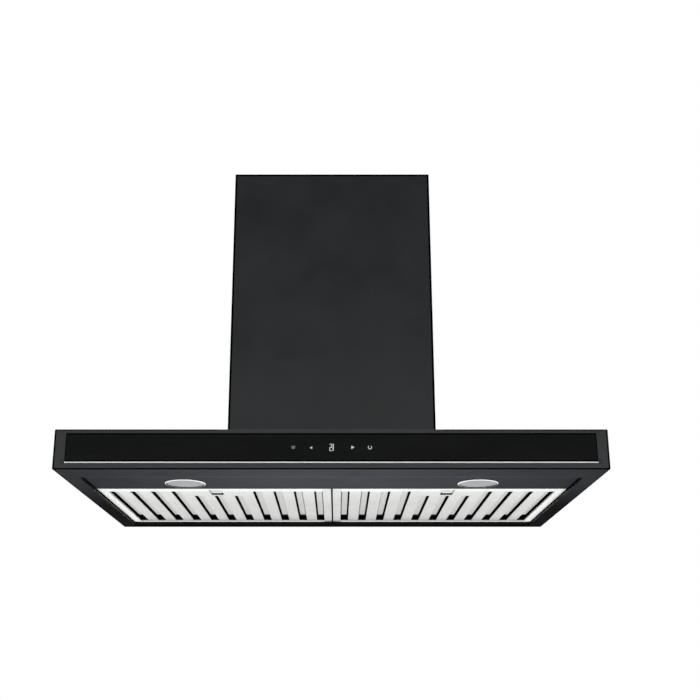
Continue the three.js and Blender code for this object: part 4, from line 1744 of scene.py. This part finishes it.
        # Painted shade: the faces inside the frame take the near-black primer.
        paint_faces(frame, PRIMER_AND_SHADE, self.is_inside)
        tongue_low = self.low.z + 1.8 * MM
        tongues = [
            round_edges(
                cuboid(
                    "tongue",
                    (x - self.tongue_half, self.y1 - t / 2, tongue_low),
                    (x + self.tongue_half, self.high.y, tongue_low + 1.2 * MM),
                ),
                0.4 * MM,
            )
            for x in (self.middle - self.tongue_x, self.middle + self.tongue_x)
        ]
        for tongue in tongues:
            BAFFLE.dress(tongue)
        place_piece(
            join(f"filter_rim_{self.side.label}", frame, *tongues),
            self.body,
            BAFFLE,
            "filter_frame_" + self.side.label,
            keep_slots=True,
        )

    def is_inside(self, face: bpy.types.MeshPolygon) -> bool:
        """Whether a face is inside the frame, where it takes painted shade."""
        t = 1.2 * self.sheet
        at = face.center
        within_walls = (
            self.low.x + 0.5 * t < at.x < self.high.x - 0.5 * t
            and self.y0 + 0.5 * t < at.y < self.y1 - 0.5 * t
        )
        upright = abs(face.normal.z) < 0.3 and at.z > self.low.z + 2 * t
        return within_walls and (upright or face.normal.z > LEVEL)

    @staticmethod
    def face_down(obj: bpy.types.Object) -> None:
        """Turns an open sheet's faces so that its level part looks down.

        Args:
            obj: The sheet.
        """
        level = max(obj.data.polygons, key=lambda f: abs(f.normal.z) * f.area)
        if level.normal.z > 0:
            with editing(obj):
                bpy.ops.mesh.select_all(action="SELECT")
                bpy.ops.mesh.flip_normals()

    def lower_sheet(self) -> None:
        """Stamps the lower sheet: long gaps whose edges are folded up."""
        inset = self.sheet + GAP
        x = (self.low.x + inset, self.high.x - inset)
        y = (self.y0 + inset, self.y1 - inset)
        sheet = plane("slats", x, y, self.slat_z)
        spans = []
        for number in range(self.gaps):
            middle = self.gap_middle(number)
            spans.append(
                ((middle - self.gap / 2, middle + self.gap / 2), (self.gap_start(number), self.gap_y[1]))
            )
        half = self.slot_half - 0.2 * MM
        finger = (
            (self.middle - half, self.middle + half), (self.y0 + self.slot_start, self.y0 + self.slot_end)
        )
        with editing(sheet):
            cuts = sorted({edge for span, _ in spans for edge in span} | set(finger[0]))
            slice_sheet(cuts, sorted({*finger[1], self.y0 + self.latch_zone, *self.gap_y}))
            pick(
                sheet,
                "FACE",
                lambda f: any(within(f.calc_center_median(), *span) for span in spans)
                or within(f.calc_center_median(), *finger),
            )
            bpy.ops.mesh.delete(type="FACE")
            outer = HAIR / 2
            pick(
                sheet,
                "EDGE",
                lambda e: e.is_boundary
                and within(middle_of(e), (x[0] + outer, x[1] - outer), (y[0] + outer, y[1] - outer))
                and not within(
                    middle_of(e),
                    (finger[0][0] - outer, finger[0][1] + outer),
                    (finger[1][0] - outer, finger[1][1] + outer),
                ),
            )
            bpy.ops.mesh.extrude_edges_move(TRANSFORM_OT_translate=lift(self.hem))
            pick(sheet, "FACE", lambda face: True)
            bpy.ops.mesh.normals_make_consistent(inside=False)
        self.face_down(sheet)
        shape(sheet, "BEVEL", width=self.fold, segments=3, limit_method="ANGLE")
        shape(sheet, "SOLIDIFY", thickness=0.8 * self.sheet, offset=-1.0, use_even_offset=True)
        sheet.name = f"slatted_sheet_{self.side.label}"
        place_piece(sheet, self.body, BAFFLE, "lower_baffles_" + self.side.label)

    def channels(self) -> None:
        """Folds the channels above the gaps and the two rails that carry them."""
        z = self.slat_z + self.rise
        end = self.gap_y[1] - self.cut
        made = []
        masters: dict[float, bpy.types.Object] = {}
        for number in range(self.gaps):
            start = self.gap_start(number) + self.lead
            if start not in masters:
                masters[start] = self.channel_at(start, end, z)
            shift = (self.gap_middle(number) - self.middle - self.side.value * self.lean, 0, 0)
            made.append(copy_of(masters[start], "channel", shift))
        remove(*masters.values())
        reach = (self.high.x - self.low.x) / 2 - self.sheet - GAP
        # Painted shade: the channels take a darker steel than the slats.
        for channel in made:
            SHADED_CHANNEL.dress(channel)
        for y in (self.y0 + self.latch_zone + self.rails[0], end - self.rails[1]):
            rail = cuboid(
                "rail",
                (self.middle - reach, y, z + self.wall + 0.2 * MM),
                (self.middle + reach, y + self.rail, z + self.wall + 1.4 * MM),
            )
            # Painted shade: the rails take the near-black primer.
            made.append(PRIMER_AND_SHADE.dress(round_edges(rail, 0.4 * MM)))
        place_piece(
            join(f"channel_rack_{self.side.label}", *made),
            self.body,
            SHADED_CHANNEL,
            "upper_baffles_" + self.side.label,
            keep_slots=True,
        )

    def channel_at(self, start: float, end: float, z: float) -> bpy.types.Object:
        """Folds one channel, open above, over the filter's middle.

        Args:
            start: Where it begins along Y.
            end: Where it ends.
            z: The height of its lower face.

        Returns:
            The channel.
        """
        half = self.channel / 2
        x = (self.middle - half, self.middle + half)
        channel = plane("channel", x, (start, end), z)
        with editing(channel):
            pick(channel, "EDGE", lambda e: abs(e.verts[0].co.x - e.verts[1].co.x) < HAIR / 2)
            bpy.ops.mesh.extrude_edges_move(TRANSFORM_OT_translate=lift(self.wall))
        self.face_down(channel)
        shape(channel, "BEVEL", width=1.2 * MM, segments=3, limit_method="ANGLE")
        return shape(channel, "SOLIDIFY", thickness=0.8 * self.sheet, offset=-1.0)

    def latch(self) -> None:
        """Shapes the sliding bolt with its finger lip and the ear for the spring."""
        label = self.side.label
        low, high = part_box("latch_bolt_" + label)
        plate_z = (self.low.z + self.plate[0], self.low.z + self.plate[1])
        end = self.y0 + self.bolt_end
        lip_x = (low.x + 1 * MM, high.x - 1 * MM)
        lip_y = (end - 1.5 * MM, end)
        bolt = cuboid("bolt", (low.x, low.y, plate_z[0]), (high.x, end, plate_z[1]))
        with editing(bolt):
            slice_sheet(lip_x, lip_y[:1])
            pick(
                bolt,
                "FACE",
                lambda f: f.normal.z < -LEVEL and within(f.calc_center_median(), lip_x, lip_y),
            )
            bpy.ops.mesh.extrude_region_move(TRANSFORM_OT_translate=lift(low.z - plate_z[0]))
        front, rear, half = self.ear
        ear = cuboid(
            "ear",
            (self.middle - half, self.y0 + front, plate_z[1] - 0.2 * MM),
            (self.middle + half, self.y0 + rear, high.z),
        )
        round_edges(bolt, 0.5 * MM, 2)
        round_edges(ear, 0.4 * MM, 2)
        place_piece(
            join(f"latch_slide_{label}", bolt, ear), "latch_" + label, BAFFLE, "latch_bolt_" + label
        )

    def spring(self) -> None:
        """Winds the latch's spring, at the length it has before the bolt is pulled."""
        label = self.side.label
        low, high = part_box("latch_spring_" + label)
        radius = (high.z - low.z) / 2 - self.wire
        centre = (self.middle, 0.0, (low.z + high.z) / 2)
        coils, steps = 6, 20
        start = low.y + 0.5 * MM
        bpy.ops.object.select_all(action="DESELECT")
        bpy.ops.mesh.primitive_circle_add(
            vertices=8,
            radius=self.wire,
            location=(centre[0] + radius, start, centre[2]),
            fill_type="NGON",
        )
        spring = settle(bpy.context.active_object)
        length = high.y - low.y - 1.0 * MM
        with editing(spring):
            bpy.ops.mesh.select_all(action="SELECT")
            bpy.ops.mesh.spin(
                steps=coils * steps,
                angle=coils * 2 * math.pi,
                center=(centre[0], start, centre[2]),
                axis=(0, 1, 0),
            )
        self.pitch_spring(spring, length, coils * steps)
        with editing(spring):
            bpy.ops.mesh.select_all(action="SELECT")
            bpy.ops.mesh.normals_make_consistent(inside=False)
        spring.name = f"latch_coil_{label}"
        place_piece(spring, self.body, SPRING, "latch_spring_" + label)
        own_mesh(spring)

    @staticmethod
    def pitch_spring(spring: bpy.types.Object, length: float, steps: int) -> None:
        """Draws a flat spun ring out into a helix.

        Args:
            spring: The spun ring, whose vertices stand in order from ring to ring.
            length: How long it becomes.
            steps: How many steps it was spun in.
        """
        vertices = spring.data.vertices
        per_ring = len(vertices) // (steps + 1)
        for index, vertex in enumerate(vertices):
            vertex.co.y += length * (index // per_ring) / steps


# ---- what stays as the frame has it -------------------------------------------------------


@dataclass(frozen=True)
class Innards:
    """The frame's own nodes that keep their shape and only take a finish."""

    zinc: tuple[str, ...] = (
        "ceiling_plate",
        *(
            f"{part}_leg_{end}_{side.label}"
            for part in ("upper", "lower")
            for end in ("front", "rear")
            for side in Side
        ),
        *(f"{part}_{side.label}" for part in ("lamp_housing", "latch_guide") for side in Side),
        *(f"{part}_{end}" for part in ("upper_brace", "damper_flap") for end in ("front", "rear")),
        "blower_box",
        "motor_bracket",
    )
    black: tuple[str, ...] = (
        "control_box", "control_box_cover", "cable_gland", "scroll_left", "scroll_right", "outlet_collar"
    )
    grey: tuple[str, ...] = (
        "terminal_block", "inlet_ring_left", "inlet_ring_right", "impeller", "capacitor"
    )
    cables: tuple[str, ...] = ("panel_lead", "motor_lead", "lamp_lead_left", "lamp_lead_right")

    def dress(self) -> None:
        """Dresses every node that is still showing."""
        groups = (
            (ZINC, self.zinc),
            (BLACK_ABS, self.black),
            (GREY_ABS, self.grey),
            (SHEATH, self.cables),
            (CASTING, ("motor",)),
            (POLISHED, ("motor_shaft", "flap_pin")),
            (BOARD, ("touch_board",)),
        )
        for finish, names in groups:
            for name in names:
                finish.dress(frame["nodes"][name])


# ---- studio -------------------------------------------------------------------------------


@dataclass
class Studio:
    """A pale floor, soft light and the camera.

    Attributes:
        floor: The floor's height.
        lens: The camera's focal length, in millimetres.
        eye: Where the camera stands.
        tilt: How far it looks up from level, in degrees.
        shift: Its lens shift.
        lean: How much the way to the rear counts as height.
        horizon: The heights, leaning to the rear, between which the room grows brighter.
        glow: How bright it is at these.
    """

    floor: float = -2.15
    lens: float = 53.5
    eye: Point = (0.0088, -1.9433, -0.9559)
    tilt: float = 16.75
    shift: Span = (0.019, 0.0457)
    lean: float = 0.9
    horizon: Span = (-0.15, 0.9)
    glow: Span = (0.08, 1.15)

    def build(self) -> None:
        """Builds the camera, the floor, the sky and the lights."""
        self.camera()
        self.ground()
        self.sky()
        self.lights()
        bpy.context.scene.view_settings.view_transform = "Standard"

    def camera(self) -> None:
        """Adds the camera."""
        bpy.ops.object.camera_add(location=self.eye, rotation=(math.radians(90 + self.tilt), 0, 0))
        camera = bpy.context.active_object
        camera.data.lens = self.lens
        camera.data.sensor_width = 36
        camera.data.shift_x, camera.data.shift_y = self.shift
        bpy.context.scene.camera = camera

    def ground(self) -> None:
        """Lays the floor."""
        ground = plane("floor", (-14, 14), (-14, 14), self.floor)
        made = bpy.data.materials.new("pale_matt_floor")
        made.use_nodes = True
        shader = made.node_tree.nodes["Principled BSDF"]
        shader.inputs["Base Color"].default_value = linear("f4f4f4")
        shader.inputs["Roughness"].default_value = 0.8
        shader.inputs["Specular IOR Level"].default_value = 0.1
        ground.data.materials.append(made)

    def sky(self) -> None:
        """Makes the room: bright overhead and behind, darker towards the front."""
        world = bpy.data.worlds.new("studio")
        bpy.context.scene.world = world
        world.use_nodes = True
        tree = world.node_tree
        tree.nodes.clear()
        place = add_node(tree, "TexCoord").outputs["Generated"]
        split = add_node(tree, "SeparateXYZ", {"Vector": place})
        # It runs from the front at eye height to the rear and overhead.
        height = {0: split.outputs["Y"], 1: self.lean, 2: split.outputs["Z"]}
        lean = add_node(tree, "Math", height, operation="MULTIPLY_ADD").outputs[0]
        strength = fit(tree, lean, self.horizon, self.glow)
        lit = add_node(tree, "Background", {"Color": WHITE, "Strength": strength}).outputs[0]
        seen = add_node(tree, "Background", {"Color": WHITE, "Strength": 1.0}).outputs[0]
        direct = add_node(tree, "LightPath").outputs["Is Camera Ray"]
        both = add_node(tree, "MixShader", {0: direct, 1: lit, 2: seen}).outputs[0]
        add_node(tree, "OutputWorld", {"Surface": both})

    def lights(self) -> None:
        """Hangs the soft boxes."""
        boxes = (
            ("front_fill", (0.0, -2.6, -0.65), (90, 0, 0), (3.2, 0.8), 22.0),
            ("overhead", (0.0, 1.6, 2.2), (0, 0, 0), (4.0, 4.0), 150.0),
        )
        for name, at, turn, size, power in boxes:
            bpy.ops.object.light_add(type="AREA", location=at, rotation=[math.radians(a) for a in turn])
            light = bpy.context.active_object
            light.name = name
            light.data.shape = "RECTANGLE"
            light.data.size, light.data.size_y = size
            light.data.energy = power
            light.visible_camera = False


def main() -> None:
    """Builds the hood piece by piece."""
    logging.basicConfig(level=logging.INFO, format="%(message)s")
    Studio().build()
    Canopy().build()
    ControlPanel().build()
    Chimney().build()
    for side in Side:
        Lamp(side).build()
        BaffleFilter(side).build()
    Innards().dress()


if __name__ == "__main__":
    main()
